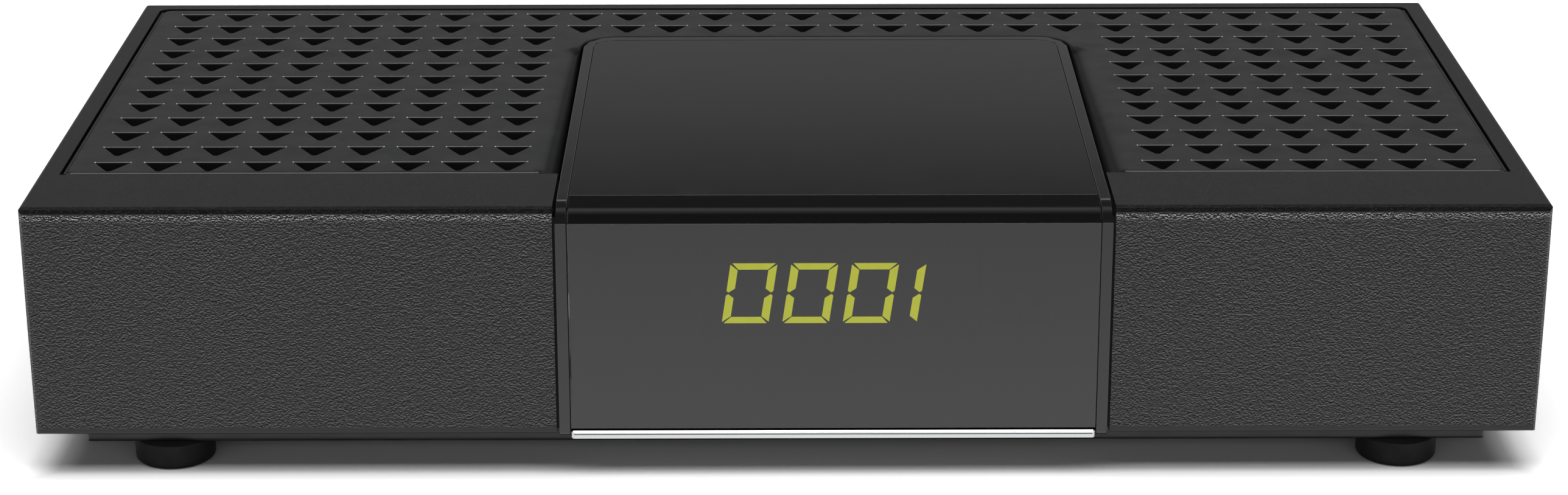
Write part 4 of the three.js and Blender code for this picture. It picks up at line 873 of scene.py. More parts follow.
# %% Plan of the plate
PLATE_HALF, PLATE_FRONT, PLATE_BACK = 81.05, 13.0, 80.7
PLATE_THICKNESS, PLATE_CORNER, PLATE_GAP = 2.6, 1.2, 0.3
COVER_BACK, COVER_CORNER = 67.5, 4.0
OPENING_LEFT, OPENING_RIGHT = COVER_LEFT - PLATE_GAP, COVER_RIGHT + PLATE_GAP
OPENING_BACK, OPENING_CORNER = behind(COVER_BACK + PLATE_GAP), COVER_CORNER + PLATE_GAP

front, back = behind(PLATE_FRONT), behind(PLATE_BACK)
plate_plan = rounded(
    [[-PLATE_HALF, front], [OPENING_LEFT, front], [OPENING_LEFT, OPENING_BACK],
     [OPENING_RIGHT, OPENING_BACK], [OPENING_RIGHT, front], [PLATE_HALF, front],
     [PLATE_HALF, back], [-PLATE_HALF, back]],
    [0, 0, OPENING_CORNER, OPENING_CORNER, 0, 0, PLATE_CORNER, PLATE_CORNER])
print("plate:", 2 * PLATE_HALF, "by", round(back - front, 1), "mm")

# %% [markdown]
# The vents are triangles that point forwards. Their columns run in from both sides at one pitch,
# and what would touch the cover or the channel beside it is left out.

# %% Vents
HOLE_SIDE, HOLE_PITCH, HOLE_APEX, HOLE_CORNER = 4.2, 5.63, 0.35, 0.12
HOLE_HEIGHT = HOLE_SIDE * np.sin(np.pi / 3)
FIRST_ROW, FIRST_COLUMN, HOLE_MARGIN, CHANNEL_MARGIN = 16.9, 76.4, 1.5, 1.95


def vent_places():
    """Middle of each vent's rear side, row by row."""
    clear = CHANNEL_MARGIN + HOLE_SIDE / 2 + HOLE_MARGIN
    right = np.arange(FIRST_COLUMN, COVER_RIGHT + clear, -HOLE_PITCH)
    left = np.arange(-FIRST_COLUMN, right[-1] - HOLE_SIDE - PLATE_GAP, HOLE_PITCH)
    beside = left < COVER_LEFT - clear
    depths = np.arange(FIRST_ROW, PLATE_BACK - HOLE_MARGIN, HOLE_PITCH)
    behind_cover = depths > COVER_BACK + HOLE_SIDE + HOLE_MARGIN / 2
    rows = [np.concatenate([left[beside | whole], right]) for whole in behind_cover]
    return np.concatenate([np.column_stack([row, np.full(len(row), behind(depth))])
                           for row, depth in zip(rows, depths)])


vents = vent_places()
vent_shape = rounded([[-HOLE_SIDE / 2, 0], [0, -HOLE_HEIGHT], [HOLE_SIDE / 2, 0]],
                     [HOLE_CORNER, HOLE_APEX, HOLE_CORNER], 3)
print("vents:", len(vents), "points round each:", len(vent_shape))

# %% [markdown]
# Near a vent or the outer edge the surface rolls down on a quarter circle, drawn by a few more
# closed lines beside the edge. Beside the cover it falls away in a channel that is rounded at its
# rear end: a curve near a quarter ellipse, whose width and depth both grow forwards, so the cover
# seems to stand higher there.

# %% Height of the plate
EDGE_ROLL, HOLE_ROLL = 0.25, 0.12
EDGE_LINES, HOLE_LINES = (0.06, 0.15, EDGE_ROLL), (0.04, HOLE_ROLL)
FALL_WIDTH, FALL_END_WIDTH, FALL_DEPTH, FALL_END_SHARE, FALL_POWER = 2.9, 2.2, 2.0, 0.55, 1.5
FALL_START, FALL_END, FALL_ROUND = 12.4, 63.0, 2.2
FALL_LINES = (0.45, 0.8, 1.2, 1.6, 2.0, 2.45, FALL_WIDTH)
THINNEST = 0.01  # keeps the division away from 0 behind the channel


def roll_drop(distance, radius):
    """Drop of a rolled edge: radius minus the height of a quarter circle of that radius."""
    gap = np.clip(radius - distance, 0, None)
    return radius - np.sqrt(radius ** 2 - gap ** 2)


def fall_drop(x, y):
    """Drop beside the cover: depth times 1 - sqrt(1 - u ** 1.5), where u falls from 1 at the
    cover's side to 0 at the width. Depth and width grow evenly from the rear end to the front, and
    the last 2.2 mm at the rear are rounded by a quarter circle."""
    left = FALL_END - (y - FRONT)
    share = np.clip(left / (FALL_END - FALL_START), 0, 1)
    end = np.sqrt(1 - (1 - np.clip(left / FALL_ROUND, 0, 1)) ** 2)
    width = end * (FALL_END_WIDTH + share * (FALL_WIDTH - FALL_END_WIDTH))
    aside = np.maximum(OPENING_LEFT - x, x - OPENING_RIGHT)
    u = np.clip(1 - np.maximum(aside, 0) / np.maximum(width, THINNEST), 0, 1)
    depth = end * (FALL_END_SHARE + share * (1 - FALL_END_SHARE)) * FALL_DEPTH
    return depth * (1 - np.sqrt(1 - u ** FALL_POWER))


def fall_lines():
    """Open lines along both sides of the cover that carry the curve of the fall, closer together
    round its rear end."""
    straight = np.linspace(PLATE_FRONT + 0.4, FALL_END - FALL_ROUND, 42)
    round_end = FALL_END + FALL_ROUND * np.linspace(-0.85, 0.1, 8)
    y = behind(np.append(straight, round_end))
    return [np.column_stack([np.full(len(y), side + way * aside), y])
            for side, way in ((OPENING_LEFT, -1), (OPENING_RIGHT, 1)) for aside in FALL_LINES]


print("fall at the cover's front corner:", round(float(fall_drop(OPENING_LEFT, front)), 2), "mm")

# %% [markdown]
# Blender's triangulation takes points and the edges that must be kept. It says which of the points
# handed in became which point of the result, and in which loops each triangle lies. What is wanted
# is inside the first loop and in no other.

# %% Filling the plan
OUTLINE_STEP = 1.4
WHOLE, SAME_POINT = 0, 1e-6  # every triangle is given, and points as near as this are one


def divided(outline, longest):
    """Adds evenly spaced points to the sides of a closed outline, none longer than longest."""
    parts = []
    for start, end in zip(outline, np.roll(outline, -1, 0)):
        count = max(1, int(np.ceil(np.linalg.norm(end - start) / longest)))
        parts.append(start + (end - start) * (np.arange(count) / count)[:, None])
    return np.concatenate(parts)


def loop_edges(start, count, closed=True):
    """Pairs of point numbers along a line of count points that are numbered from start."""
    here = start + np.arange(count)
    return np.column_stack([here, np.roll(here, -1)])[:count if closed else count - 1]


def filled(loops, closed=(), lines=()):
    """Triangles inside the first loop and outside the others. The closed and open lines between
    them become edges too. Gives the points, the triangles, and the new number of each point."""
    chains = [*loops, *closed, *lines]
    counts = [len(chain) for chain in chains]
    starts = np.cumsum([0] + counts)[:-1]
    kept = len(loops) + len(closed)
    rings = [list(range(start, start + count)) for start, count in zip(starts, counts)][:len(loops)]
    edges = [loop_edges(starts[k], counts[k], k < kept).tolist()
             for k in range(len(loops), len(chains))]
    flat = list(map(Vector, np.concatenate(chains).tolist()))
    found, _, faces, origins, _, inside = delaunay_2d_cdt(flat, sum(edges, []), rings, WHOLE,
                                                          SAME_POINT, True)
    number = np.zeros(len(flat), int)
    repeats = np.fromiter(map(len, origins), int)
    number[np.concatenate(origins).astype(int)] = np.repeat(np.arange(len(found)), repeats)
    wanted = [face for face, held in zip(faces, inside) if list(held) == [0]]
    return np.array(found), np.array(wanted), number


print("edges of a closed line of three points:", loop_edges(0, 3).tolist())

# %% The plate's solid
def plate_solid():
    """Upper surface, flat underside, and walls between their shared edge points. The drop of each
    point of the upper surface is that of its own line, and most points lie beyond the rolls."""
    outer = divided(plate_plan, OUTLINE_STEP)
    holes = [vent_shape + place for place in vents]
    loops = [outer, *holes]
    rolls = [(inset(outer, d), d) for d in EDGE_LINES]
    rolls += [(inset(hole, -d), d) for d in HOLE_LINES for hole in holes]
    upper, upper_faces, number = filled(loops, [line for line, _ in rolls], fall_lines())

    walls = sum(len(loop) for loop in loops)
    rolled = walls + sum(len(line) for line, _ in rolls)
    distance, radius = np.full(len(number), EDGE_ROLL), np.full(len(number), HOLE_ROLL)
    distance[:walls] = 0
    distance[walls:rolled] = np.concatenate([np.full(len(line), d) for line, d in rolls])
    radius[:len(outer)] = radius[walls:walls + len(EDGE_LINES) * len(outer)] = EDGE_ROLL
    drops = np.zeros(len(upper))
    drops[number] = roll_drop(distance, radius)
    upper_points = np.column_stack([upper, TOP - drops - fall_drop(*upper.T)])

    lower, lower_faces, low_number = filled(loops)
    lower_points = np.column_stack([lower, np.full(len(lower), TOP - PLATE_THICKNESS)])
    shift = len(upper_points)
    starts = np.cumsum([0] + [len(loop) for loop in loops])[:-1]
    here, ahead = np.concatenate([loop_edges(s, len(loop)) for s, loop in zip(starts, loops)]).T
    sides = np.column_stack([number[here], number[ahead],
                             shift + low_number[ahead], shift + low_number[here]])
    faces = [*upper_faces.tolist(), *(shift + lower_faces[:, ::-1]).tolist(), *sides.tolist()]
    return np.concatenate([upper_points, lower_points]), faces


plate = piece("vent_plate", plate_solid(), FINISH["grille_plastic"],
              ["grille_insert"], crease=20)
print("plate:", len(plate.data.polygons), "faces")

# %% [markdown]
# Seen from the front, each vent's straight rear edge is a fine bright line with a point at both
# ends. They are painted highlights: a pale bar along the edge stands in for the glint of its
# rounded edge, and paler points stand in for the glints in its corners. The plate's front edge
# has a painted highlight too. They are plain bars less than 0.2 mm thick, the same three for
# every vent.

# %% Painted highlights on the vents' edges
HIGHLIGHT_HALF, HIGHLIGHT_THICK, HIGHLIGHT_TOP, HIGHLIGHT_LOW = HOLE_SIDE / 2 - 0.04, 0.03, 0.01, 0.09
GLINT_HALF, GLINT_AHEAD, GLINT_LOW = 0.08, 0.14, 0.16
FRONT_HIGHLIGHT_IN, FRONT_HIGHLIGHT_TOP, FRONT_HIGHLIGHT_LOW = 0.02, 0.02, 0.13
OUTER_STOP, COVER_STOP = 0.5, 2.5  # how far short of the plate's end and the cover it stops


def bar(left, right, near, far, low, high):
    """Plain bar with sharp edges: six faces with four corners."""
    return pad(box_outline(left, right, near, far, 0, 1), low, high)


def on_plate(solid):
    """The solid once at every vent, on the plate's surface: its points moved by each place, its
    four-sided faces by the count of the points before them."""
    points, faces = solid
    places = np.column_stack([vents, TOP - fall_drop(*vents.T)])
    starts = np.arange(len(places)) * len(points)
    return ((points + places[:, None]).reshape(-1, 3),
            (np.array(faces) + starts[:, None, None]).reshape(-1, 4).tolist())


vent_edge_highlights = on_plate(bar(-HIGHLIGHT_HALF, HIGHLIGHT_HALF, -HIGHLIGHT_THICK, HIGHLIGHT_THICK, -HIGHLIGHT_LOW, -HIGHLIGHT_TOP))
vent_corner_glints = on_plate(joined(*(bar(x - GLINT_HALF, x + GLINT_HALF, -GLINT_AHEAD, HIGHLIGHT_THICK,
                                   -GLINT_LOW, 0) for x in (-HIGHLIGHT_HALF, HIGHLIGHT_HALF))))
front_edge_highlights = [bar(left, right, front - HIGHLIGHT_THICK, front + FRONT_HIGHLIGHT_IN,
                   below(FRONT_HIGHLIGHT_LOW), below(FRONT_HIGHLIGHT_TOP))
               for left, right in ((-PLATE_HALF + OUTER_STOP, COVER_LEFT - COVER_STOP),
                                   (COVER_RIGHT + COVER_STOP, PLATE_HALF - OUTER_STOP))]
piece("vent_edge_highlight_bars", joined(vent_edge_highlights, *front_edge_highlights), EDGE_HIGHLIGHT_PAINT)
piece("vent_corner_glint_bars", vent_corner_glints, CORNER_GLINT_PAINT)
# Count of the painted highlight bars: one on each vent's rear edge and two on the plate's front
print("burrs:", len(vents) + len(front_edge_highlights))

# %% [markdown]
# The gaps beside the plate and the cover are closed just below the surface by the frame's seat, so
# they read as fine grooves and not as slits.

# %% Seats in the gaps
SEAT_DROP, SEAT_LOW, SEAT_PLAY, SEAT_SHORT = 0.14, 0.8, 0.02, 0.5
FACE_DEPTH, FACE_TOP, FACE_END = 1.2, 1.3, 25.9  # of those beside the front of the cover

seats = []
for beside_plate, beside_cover in ((-PLATE_HALF - PLATE_GAP, OPENING_LEFT),
                                   (PLATE_HALF, COVER_RIGHT)):
    seats.append(bar(beside_plate + SEAT_PLAY, beside_plate + PLATE_GAP - SEAT_PLAY,
                     front, back - SEAT_SHORT, below(SEAT_LOW), below(SEAT_DROP)))
    seats.append(bar(beside_cover + SEAT_PLAY, beside_cover + PLATE_GAP - SEAT_PLAY,
                     behind(SEAT_DROP), behind(FACE_DEPTH), below(FACE_END), below(FACE_TOP)))
piece("gap_seats", joined(*seats), FINISH["grille_plastic"])
print("seats:", len(seats))

# %% [markdown]
# ## The smoked window
#
# The window is one sheet, bent over the nose of the cover. It leaves the level of the top a few
# millimetres behind the front, goes over a soft shoulder, and turns down at a small radius. The
# bend is a polyline with rounded corners; the sheet is that line carried from left to right, drawn
# in at the two rear corners.

# %% Bent sheets
WINDOW_LEFT, WINDOW_RIGHT, WINDOW_BACK, WINDOW_CORNER = -23.99, 34.49, 66.18, 2.6
WINDOW_BOTTOM, WINDOW_THICKNESS, COVER_PROUD = 25.75, 1.2, 0.4
BEND_START, SHOULDER, NOSE_DROP = (4.7, 0.0), (1.1, 0.4), 1.6
START_RADIUS, SHOULDER_RADIUS, NOSE_RADIUS = 4.0, 2.5, 0.15


def wrap_line():
    """The cover's outer line as (depth, drop), from its rear end over the nose to its lower end."""
    corners = [[WINDOW_BACK, 0], BEND_START, SHOULDER, [-COVER_PROUD, NOSE_DROP],
               [-COVER_PROUD, WINDOW_BOTTOM]]
    return rounded(corners, [0, START_RADIUS, SHOULDER_RADIUS, NOSE_RADIUS, 0], 7, closed=False)


def bent_sheet(outer, thickness, left, right, corner):
    """Closes the line with one a thickness inside it, and carries both across. At a distance d
    inside a side edge, within the corner radius, the rear end draws in by
    radius - sqrt(radius ** 2 - (radius - d) ** 2)."""
    inner = np.maximum(outer, [thickness - COVER_PROUD, thickness])
    depth, drop = np.concatenate([outer, inner[::-1]]).T
    turn = corner * (1 - np.cos(np.linspace(0, np.pi / 2, 9)))
    across = np.concatenate([left + turn, right - turn[::-1]])
    back = outer[0, 0] - roll_drop(np.minimum(across - left, right - across), corner)
    rings = np.broadcast_arrays(across[:, None], behind(np.minimum(depth, back[:, None])),
                                below(drop))
    return loft(np.stack(rings, -1))


window_line = wrap_line()
window = piece("smoked_window", bent_sheet(window_line, WINDOW_THICKNESS, WINDOW_LEFT, WINDOW_RIGHT,
                                           WINDOW_CORNER),
               FINISH["smoked_acrylic"], ["display_window"], crease=30, edge=0.15)
print("window line:", len(window_line), "points")

# %% [markdown]
# Light that comes through the sheet passes its outer face and its inner one. If both were smoked
# it would be dimmed twice, so the faces that look inwards, to the rear or downwards, are clear.

# %% Inner faces of the window
LOOKS, NOSE_DEPTH, ROOF_DROP = 0.7, 5, 3


def clear_inside(thing):
    """Gives the sheet's inner faces a clear finish."""
    polygons = thing.data.polygons
    normal, centre = np.empty(len(polygons) * 3), np.empty(len(polygons) * 3)
    polygons.foreach_get("normal", normal)
    polygons.foreach_get("center", centre)
    normal, centre = normal.reshape(-1, 3), centre.reshape(-1, 3) / MM
    behind_front = (normal[:, 1] > LOOKS) & (centre[:, 1] < behind(NOSE_DEPTH))
    under_roof = (normal[:, 2] < -LOOKS) & (centre[:, 2] > below(ROOF_DROP))
    inner = behind_front | under_roof
    thing.data.materials.append(CLEAR)
    polygons.foreach_set("material_index", inner.astype(np.int32))
    return inner.sum()


print("clear faces:", clear_inside(window))

# %% [markdown]
# The bright trim is a shallow ridge, chrome plated. Its ends are hipped like a roof's, so the
# crease stops a little short of them. It is a loft from the back outline to the ridge, with close
# rings that round the crease.

# %% Bright trim
TRIM_TOP, TRIM_CREASE, TRIM_BOTTOM, TRIM_HIP = 25.97, 26.39, 26.98, 0.35
# How far each ring has moved from the outline to the crease, and how far it stands out of the front
TRIM_RINGS = ((0, -0.8), (0, COVER_PROUD - 0.08), (0.06, COVER_PROUD), (0.88, COVER_PROUD + 0.15),
              (0.91, COVER_PROUD + 0.14), (0.95, COVER_PROUD))


def ridge_solid():
    """Both facets lie so flat that they mirror bright things: the upper one the low bank, the lower
    one the floor. They meet at a fine dark groove."""
    outline = box_outline(WINDOW_LEFT, WINDOW_RIGHT, below(TRIM_BOTTOM), below(TRIM_TOP), 0.25, 4)
    x = np.clip(outline[:, 0], WINDOW_LEFT + TRIM_HIP, WINDOW_RIGHT - TRIM_HIP)
    ridge = np.column_stack([x, np.full(len(x), below(TRIM_CREASE))])
    share, stand = np.array(TRIM_RINGS).T[:, :, None, None]
    flat = outline * (1 - share) + ridge * share
    depth = np.broadcast_to(behind(-stand), (*flat.shape[:2], 1))
    return loft(np.concatenate([flat[..., :1], depth, flat[..., 1:]], -1))


piece("bright_trim", ridge_solid(), FINISH["bright_plating"], ["chrome_trim"],
      crease=60)
print("trim:", round(WINDOW_RIGHT - WINDOW_LEFT, 1), "mm long")

# %% [markdown]
# ## Digits
#
# A seven-segment display is a dark block with light bars set into its face, leaned to the right.
# Lit bars glow yellow-green; the others stay dark behind the smoked window. The bars meet at
# mitres with a fine gap, and where three of them meet each ends in a blunt point, nearer to its
# outer side. The last place is narrow: it has only the two bars of a 1.

# %% Outlines of the bars
DIGIT_HEIGHT, DIGIT_WIDTH, DIGIT_SLANT = 7.03, 5.17, 0.146
LEVEL_BAR, UPRIGHT_BAR, BAR_GAP = 0.72, 0.89, 0.11
# Where an upright bar's blunt point begins at its inner and outer side, as a share of a level bar,
# and how far in the point is, as a share of the upright bar
POINT_INNER, POINT_OUTER, POINT_IN = 0.65, 0.24, 0.27


def digit_bars():
    """Outlines of one digit's seven bars, its middle at the origin, leaned by moving each point to
    the right by 0.146 of its height. The upper bar, the upper right one and the middle one are
    drawn, and the others are mirror images."""
    w, h, wide, tall, gap = DIGIT_WIDTH / 2, DIGIT_HEIGHT / 2, UPRIGHT_BAR, LEVEL_BAR, BAR_GAP
    top = np.array([[-w + gap * 2, h], [-w + wide + gap / 2, h - tall],
                    [w - wide - gap / 2, h - tall], [w - gap * 2, h]])
    side = np.array([[w, h - gap * 1.5], [w - wide, h - tall - gap],
                     [w - wide, tall * POINT_INNER + gap], [w - wide * POINT_IN, gap],
                     [w, tall * POINT_OUTER + gap]])
    middle = np.array([[-w + wide * 0.5 + gap, 0], [-w + wide + gap, -tall / 2],
                       [w - wide - gap, -tall / 2], [w - wide * 0.5 - gap, 0],
                       [w - wide - gap, tall / 2], [-w + wide + gap, tall / 2]])
    upright = {"A": top, "D": (top * [1, -1])[::-1], "B": side, "C": (side * [1, -1])[::-1],
               "E": side * [-1, -1], "F": (side * [-1, 1])[::-1], "G": middle}
    return {name: line + line[:, 1:] * [DIGIT_SLANT, 0] for name, line in upright.items()}


outlines = digit_bars()
print("bars of a digit:", sorted(outlines))

# %% Display
DIGIT_LEVEL, BAR_FACE, BAR_BACK = 10.3, 1.22, 1.32
# Middle of each place, the bars that it has, and those that are lit
PLACES = ((-4.03, "ABCDEFG", "ABCDEF"), (2.67, "ABCDEFG", "ABCDEF"), (9.37, "ABCDEFG", "ABCDEF"),
          (12.39, "BC", "BC"))
CASE_SIDES, CASE_DROPS, CASE_DEPTHS = (-8.95, 21.25), (5.0, 15.2), (1.3, 9.4)

bars = {"lit": [], "unlit": []}
for middle, held, lit in PLACES:
    for name in held:
        outline = outlines[name] + [middle, below(DIGIT_LEVEL)]
        bars["lit" if name in lit else "unlit"].append(
            pad(outline, behind(BAR_FACE), behind(BAR_BACK), way="back"))
piece("lit_bars", joined(*bars["lit"]), FINISH["light_bars"], ["led_segments"])
piece("unlit_bars", joined(*bars["unlit"]), UNLIT)
case_outline = box_outline(*CASE_SIDES, below(CASE_DROPS[1]), below(CASE_DROPS[0]), 0.2, 2)
piece("display_block", pad(case_outline, *map(behind, CASE_DEPTHS), 0.1, way="back"),
      FINISH["display_case"], ["led_display_case"])
print("bars:", {kind: len(made) for kind, made in bars.items()})

# %% [markdown]
# ## Feet
#
# The feet are stick-on pads of rubber with a rounded tread. A foot is a profile turned round its
# own axis, which stands upright.

# %% Rubber feet
FOOT_RADIUS, FOOT_ROUND, FOOT_SHOULDER, TRAY_DROP = 4.5, 0.6, 0.2, 28.8
FOOT_SIDES, FOOT_ENDS = (("left", -69.4), ("right", 69.4)), (("front", -40.1), ("rear", 30.7))

foot_top = below(TRAY_DROP)
foot_profile = rounded([[0, 0], [FOOT_RADIUS, 0], [FOOT_RADIUS, foot_top], [0, foot_top]],
                       [0, FOOT_ROUND, FOOT_SHOULDER, 0])
for hand, x in FOOT_SIDES:
    for end, y in FOOT_ENDS:
        piece(f"rubber_foot_{end}_{hand}", turned(foot_profile, (x, y, 0)), FINISH["foot_rubber"],
              [f"foot_{end}_{hand}"], crease=60)
print("feet:", 2 * FOOT_RADIUS, "mm across and", round(foot_top, 1), "mm tall")

# %% [markdown]
# ## Rear sockets
#
# A rear panel is read by its metal parts: the rolled thread of the aerial connector, gold
# contacts, plated sleeves. The aerial connector is turned from brass, rolled with a 32-per-inch
# thread and nickel plated. Its surface is a grid whose radius goes down and up once a pitch,
# shifted round the axis so the thread climbs.

# %% Aerial connector
THREAD_PITCH, THREAD_DEPTH, THREAD_START, THREAD_END = 0.794, 0.42, 86.0, 93.0
BARREL, FLANGE = 4.75, 6
# (radius, depth) of the plain parts before and after the thread, from the axis outwards and back
BEFORE = ((0, 80.3), (FLANGE, 80.3), (FLANGE, 81.3), (BARREL, 81.3), (BARREL, 85.9))
AFTER = ((BARREL, 93.1), (BARREL - 0.5, 93.6), (3.6, 93.6), (3.5, 93.5), (3.5, 93.0), (0.6, 93.0),
         (0.6, 87.6), (0, 87.6))


def axis_at(x, drop):
    """Place on the front's plane from which a socket's depths are counted."""
    return (x, FRONT, below(drop))


AERIAL, AUDIO, POWER = axis_at(59.0, 16.6), axis_at(41.0, 16.6), axis_at(-58.0, 17.1)


def threaded_connector(sides=48, steps=8):
    """Radius along the thread: the barrel's, less the depth times 1 - |2 * turn - 1|, where turn
    is the fraction of a pitch passed at that place and angle. It fades over half a pitch."""
    along = np.arange(THREAD_START, THREAD_END, THREAD_PITCH / steps)
    turn = ((along[:, None] - THREAD_START) / THREAD_PITCH + angles_round(sides) / (2 * np.pi)) % 1
    fade = np.clip(np.minimum(along - THREAD_START, THREAD_END - along) * 2 / THREAD_PITCH, 0, 1)
    radius = BARREL - THREAD_DEPTH * fade[:, None] * (1 - np.abs(2 * turn - 1))
    before, after = np.array(BEFORE), np.array(AFTER)
    radii = np.concatenate([np.repeat(before[:, :1], sides, 1), radius,
                            np.repeat(after[:, :1], sides, 1)])
    points = spun(radii, np.concatenate([before[:, 1], along, after[:, 1]]), "back")
    return points.reshape(-1, 3) + AERIAL, grid_faces(*radii.shape, close_rows=True)


piece("aerial_barrel", threaded_connector(), FINISH["nickel"], ["f_connector"], crease=50)
print("thread:", round((THREAD_END - THREAD_START) / THREAD_PITCH, 1), "turns")

# %% [markdown]
# The audio and power sockets are black mouldings with drawn metal sleeves, and the aerial
# connector holds a white insert. Each is a tube: a four-cornered profile spun round the socket's
# axis.

# %% Tubes
NICKEL = FINISH["nickel"]
# Name, axis, inner and outer radius, near and far depth, radii of the four corners and steps of
# their arcs, sides, finish, slot
TUBES = (
    ("aerial_insert", AERIAL, (0.75, 3.45), (92.6, 93.25), (0, 0, 0.1, 0.2), 3, 40, PTFE, "nickel"),
    ("aerial_contact", AERIAL, (0.45, 0.72), (88.0, 93.15), 0, 0, 20, BRASS, "nickel"),
    ("audio_sleeve", AUDIO, (3.1, 4.2), (84.3, 92.15), (0, 0.2, 0.5, 0.15), 4, 48, NICKEL,
     "nickel"),
    ("audio_face", AUDIO, (1.66, 3.08), (91.2, 92.12), (0, 0, 0.1, 0.2), 3, 40, ORANGE,
     "socket_plastic"),
    ("audio_contact", AUDIO, (1.3, 1.62), (85.0, 91.4), 0, 0, 32, GOLD, "nickel"),
    ("power_pin", POWER, (0, 1.03), (75.5, 83.45), (0, 0, 0.4, 0), 4, 24, NICKEL, "nickel"),
)
for name, axis, (inner, outer), (near, far), corners, steps, sides, finish, slot in TUBES:
    profile = rounded([[inner, near], [outer, near], [outer, far], [inner, far]], corners, steps)
    piece(name, turned(profile, axis, sides, "back"), finish, crease=50)
print("tubes:", len(TUBES))

# %% Spring of the power socket
SPRING_SIDES = (-58.6, -57.4)


def deep_block(sides, depths, levels, edge=0.0):
    """A block between two sides, two depths and two heights."""
    return block(*sides, *map(behind, depths), *levels, edge)


# A strip with the hump that holds the plug
spring = [deep_block(SPRING_SIDES, (76.0, 83.2), (below(20.2), below(19.9)), 0.05),
          deep_block(SPRING_SIDES, (80.5, 81.5), (below(20.1), below(19.5)), 0.2)]
piece("power_spring", joined(*spring), NICKEL)
print("blocks of the spring:", len(spring))

# %% [markdown]
# The wide socket has two rows of ten contacts, each a folded spring that shows as a bright strip
# in its slot, and a folded steel shroud in the groove round them. The two small sockets have black
# tongues with gold pads. All are the same small block, repeated at the standard pitches.

# %% Wide socket
WIDE_SIDES, WIDE_DROPS, WIDE_SLANT, WIDE_CORNER = (-14.0, 33.0), (6.6, 22.6), 3.0, 1.0
WIDE_MIDDLE, WIDE_LEVEL = sum(WIDE_SIDES) / 2 - WIDE_SLANT / 2, sum(WIDE_DROPS) / 2
CONTACT_PITCH, CONTACT_HALF, CONTACT_TALL, CONTACT_ROUND = 3.81, 0.22, 1.45, 0.06
CONTACT_DEPTHS, ROW_HALF = (77.6, 83.6), 2.5
SHROUD_GAPS, SHROUD_DEPTHS = (1.25, 1.6), (75.5, 84.1)


def wide_outline(gap):
    """The wide socket's outline, with its one slanting side, drawn in by a gap."""
    left, right = WIDE_SIDES[0] + gap, WIDE_SIDES[1] - gap
    low, high = below(WIDE_DROPS[1]) + gap, below(WIDE_DROPS[0]) - gap
    return rounded([[left, low], [right - WIDE_SLANT, low], [right, high], [left, high]],
                   WIDE_CORNER, 4)


def band(outer, inner, near, far):
    """Closed ring between an outer and an inner outline, carried from near to far."""
    rings = [np.insert(line, 1, behind(depth), 1) for line, depth in
             ((outer, near), (outer, far), (inner, far), (inner, near))]
    return np.concatenate(rings), grid_faces(4, len(outer), close_rows=True)


contacts = []
for row in (-1, 1):
    for i in range(10):
        x = WIDE_MIDDLE + (i - 4.5 + row / 4) * CONTACT_PITCH
        z = below(WIDE_LEVEL) + row * ROW_HALF
        contacts.append(deep_block((x - CONTACT_HALF, x + CONTACT_HALF), CONTACT_DEPTHS,
                                   (z - CONTACT_TALL, z + CONTACT_TALL), CONTACT_ROUND))
shroud = band(*map(wide_outline, SHROUD_GAPS), *SHROUD_DEPTHS)
for name, solid in (("scart_contacts", joined(*contacts)), ("scart_shroud", shroud)):
    piece(name, solid, FINISH["tin_plate"])
print("contacts:", len(contacts))

# %% Small sockets
PAD_THICK = 0.04
VIDEO_MIDDLE, VIDEO_PITCH, VIDEO_PAD_HALF = -24.5, 0.5, 0.15
VIDEO_DEPTHS, VIDEO_FACES = (77.0, 82.6), (18.5, 19.54)
DATA_MIDDLE, DATA_PLACES, DATA_PAD_HALF = -43, (-3.5, -1.0, 1.0, 3.5), 0.5
DATA_DEPTHS, DATA_DROPS = (75.0, 82.4), (19.76, 19.7)


def gold_pad(middle, half, depths, drops):
    """A pad that reaches as far to both sides of its middle, between two drops, the lower first."""
    return deep_block((middle - half, middle + half), depths, map(below, drops))


def tongue(name, sides, depths, drops, edge):
    """A moulded tongue between two sides, two depths and two drops, the lower one first."""
    piece(name, deep_block(sides, depths, map(below, drops), edge), FINISH["socket_plastic"])


video_pads = [gold_pad(VIDEO_MIDDLE + (i - 9) * VIDEO_PITCH, VIDEO_PAD_HALF, VIDEO_DEPTHS,
                       (VIDEO_FACES[i % 2], VIDEO_FACES[i % 2] - PAD_THICK)) for i in range(19)]
data_pads = [gold_pad(DATA_MIDDLE + x, DATA_PAD_HALF, DATA_DEPTHS, DATA_DROPS)
             for x in DATA_PLACES]
piece("hdmi_pads", joined(*video_pads), GOLD)
tongue("hdmi_tongue", (-30.04, -18.96), (75.5, 83.25), (19.52, 18.48), 0.06)
piece("usb_pads", joined(*data_pads), GOLD)
tongue("usb_tongue", (-48.59, -37.41), (73.5, 83.05), (19.73, 17.87), 0.08)
print("pads:", len(video_pads) + len(data_pads))

# %% [markdown]
# The rocker has a line and a ring printed on its two halves, for on and off. Their place and slant
# are read from the rocker's own faces: the two largest that look to the rear.

# %% Faces of the rocker
RIGHT = np.array([-1.0, 0, 0])  # to the right of someone who looks at the rear


def face_frames(name, count):
    """Middle, and the directions to the right, up and out, of the largest faces that look to the
    rear, the highest first."""
    mesh = merged_copy(name)
    total = len(mesh.polygons)
    normals, middles, areas = np.empty(total * 3), np.empty(total * 3), np.empty(total)
    for field, values in (("normal", normals), ("center", middles), ("area", areas)):
        mesh.polygons.foreach_get(field, values)
    bpy.data.meshes.remove(mesh)
    normals, middles = normals.reshape(-1, 3), middles.reshape(-1, 3) / MM
    largest = np.argsort(np.where(normals[:, 1] > LOOKS, areas, 0))[-count:]
    found = largest[np.argsort(-middles[largest, 2])]
    return [(middles[i], RIGHT, np.cross(normals[i], RIGHT), normals[i]) for i in found]


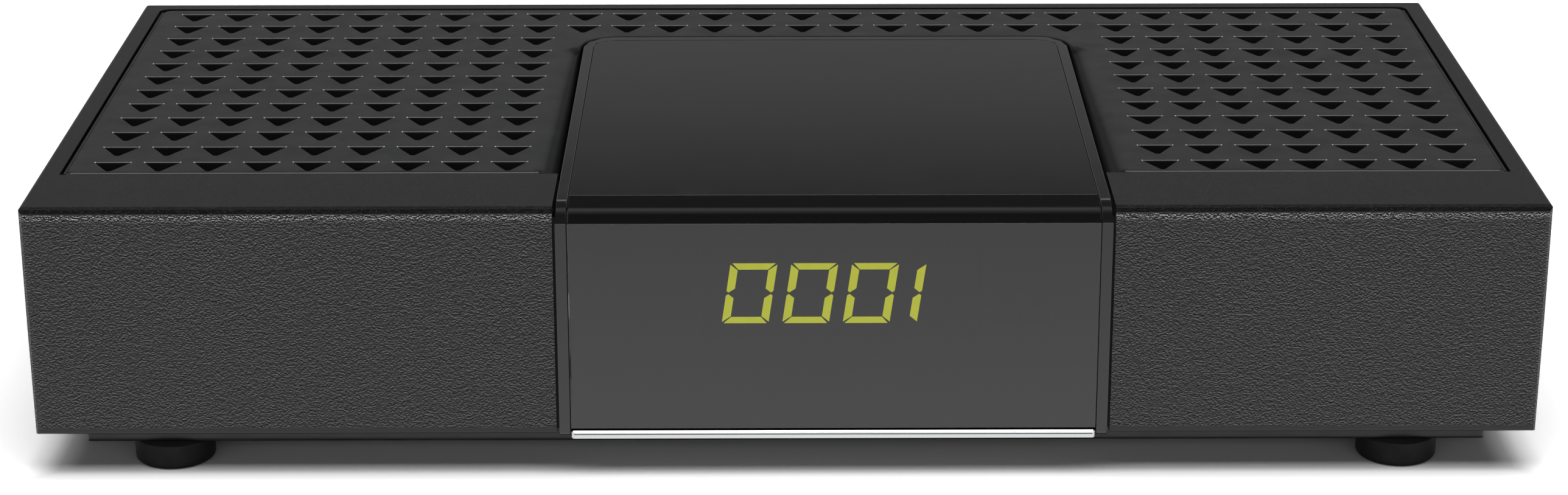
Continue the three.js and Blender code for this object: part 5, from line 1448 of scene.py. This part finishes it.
upper, lower = face_frames("power_rocker", 2)
print("faces of the rocker at", np.round(upper[0], 1), np.round(lower[0], 1))

# %% Switch marks
MARK_LOW, MARK_HIGH = -0.05, 0.02
LINE_HALF, LINE_TALL, RING_INNER, RING_OUTER = 0.18, 0.9, 0.62, 0.92


def on_face(solid, face):
    """Moves points made as (right, up, out) onto a face."""
    points, faces = solid
    middle, *directions = face
    return middle + points @ np.stack(directions), faces


line_mark = pad(box_outline(-LINE_HALF, LINE_HALF, -LINE_TALL, LINE_TALL, 0.05, 2),
                MARK_LOW, MARK_HIGH)
ring_mark = turned([[RING_INNER, MARK_LOW], [RING_OUTER, MARK_LOW], [RING_OUTER, MARK_HIGH],
                    [RING_INNER, MARK_HIGH]], (0, 0, 0), 40)
piece("switch_marks", joined(on_face(line_mark, upper), on_face(ring_mark, lower)), PAINT_WHITE,
      body="rocker")
print("points of the marks:", len(line_mark[0]) + len(ring_mark[0]))

# %% [markdown]
# ## The rest of the nodes
#
# The housing keeps its CAD shape. Only its edges are rolled, the widest ones where the moulding is
# softest to the hand: along the front's upper edge and at the upright corners.

# %% Housing
WIDEST_ROLL, NARROW_SHARE, CORNER_REACH = 0.4, 0.25, 1.2


def housing_rolls(middles):
    """Share of the widest roll for each edge of the housing: all of it along the front's upper edge
    and the upright corners, and a quarter elsewhere."""
    x, y, z = middles.T
    ahead, top = y < behind(CORNER_REACH), z > below(CORNER_REACH)
    corner = (np.abs(x) > BODY_HALF - CORNER_REACH) & (ahead | (y > REAR - CORNER_REACH))
    return np.where((ahead & top) | corner, 1.0, NARROW_SHARE)


refined("housing_shell", WIDEST_ROLL, 60, "receiver", housing_rolls)
print("rolls of the housing:", WIDEST_ROLL, "and", WIDEST_ROLL * NARROW_SHARE, "mm")

# %% [markdown]
# Every other node that no piece stands for yet gets the same narrow roll.

# %% Tray, panel and what stands behind
NARROW_ROLL = 0.1
STOOD_FOR = {"housing_shell", "grille_insert", "display_window", "chrome_trim", "led_segments",
             "led_display_case", "f_connector", "foot_front_left", "foot_front_right",
             "foot_rear_left", "foot_rear_right"}
body_of = {name: body for body, names in frame["record"]["behaviour"]["bodies"].items()
           for name in names}
others = [name for name in nodes if name not in STOOD_FOR]
for name in others:
    refined(name, NARROW_ROLL, 35, body_of[name])
print("nodes refined:", len(others))
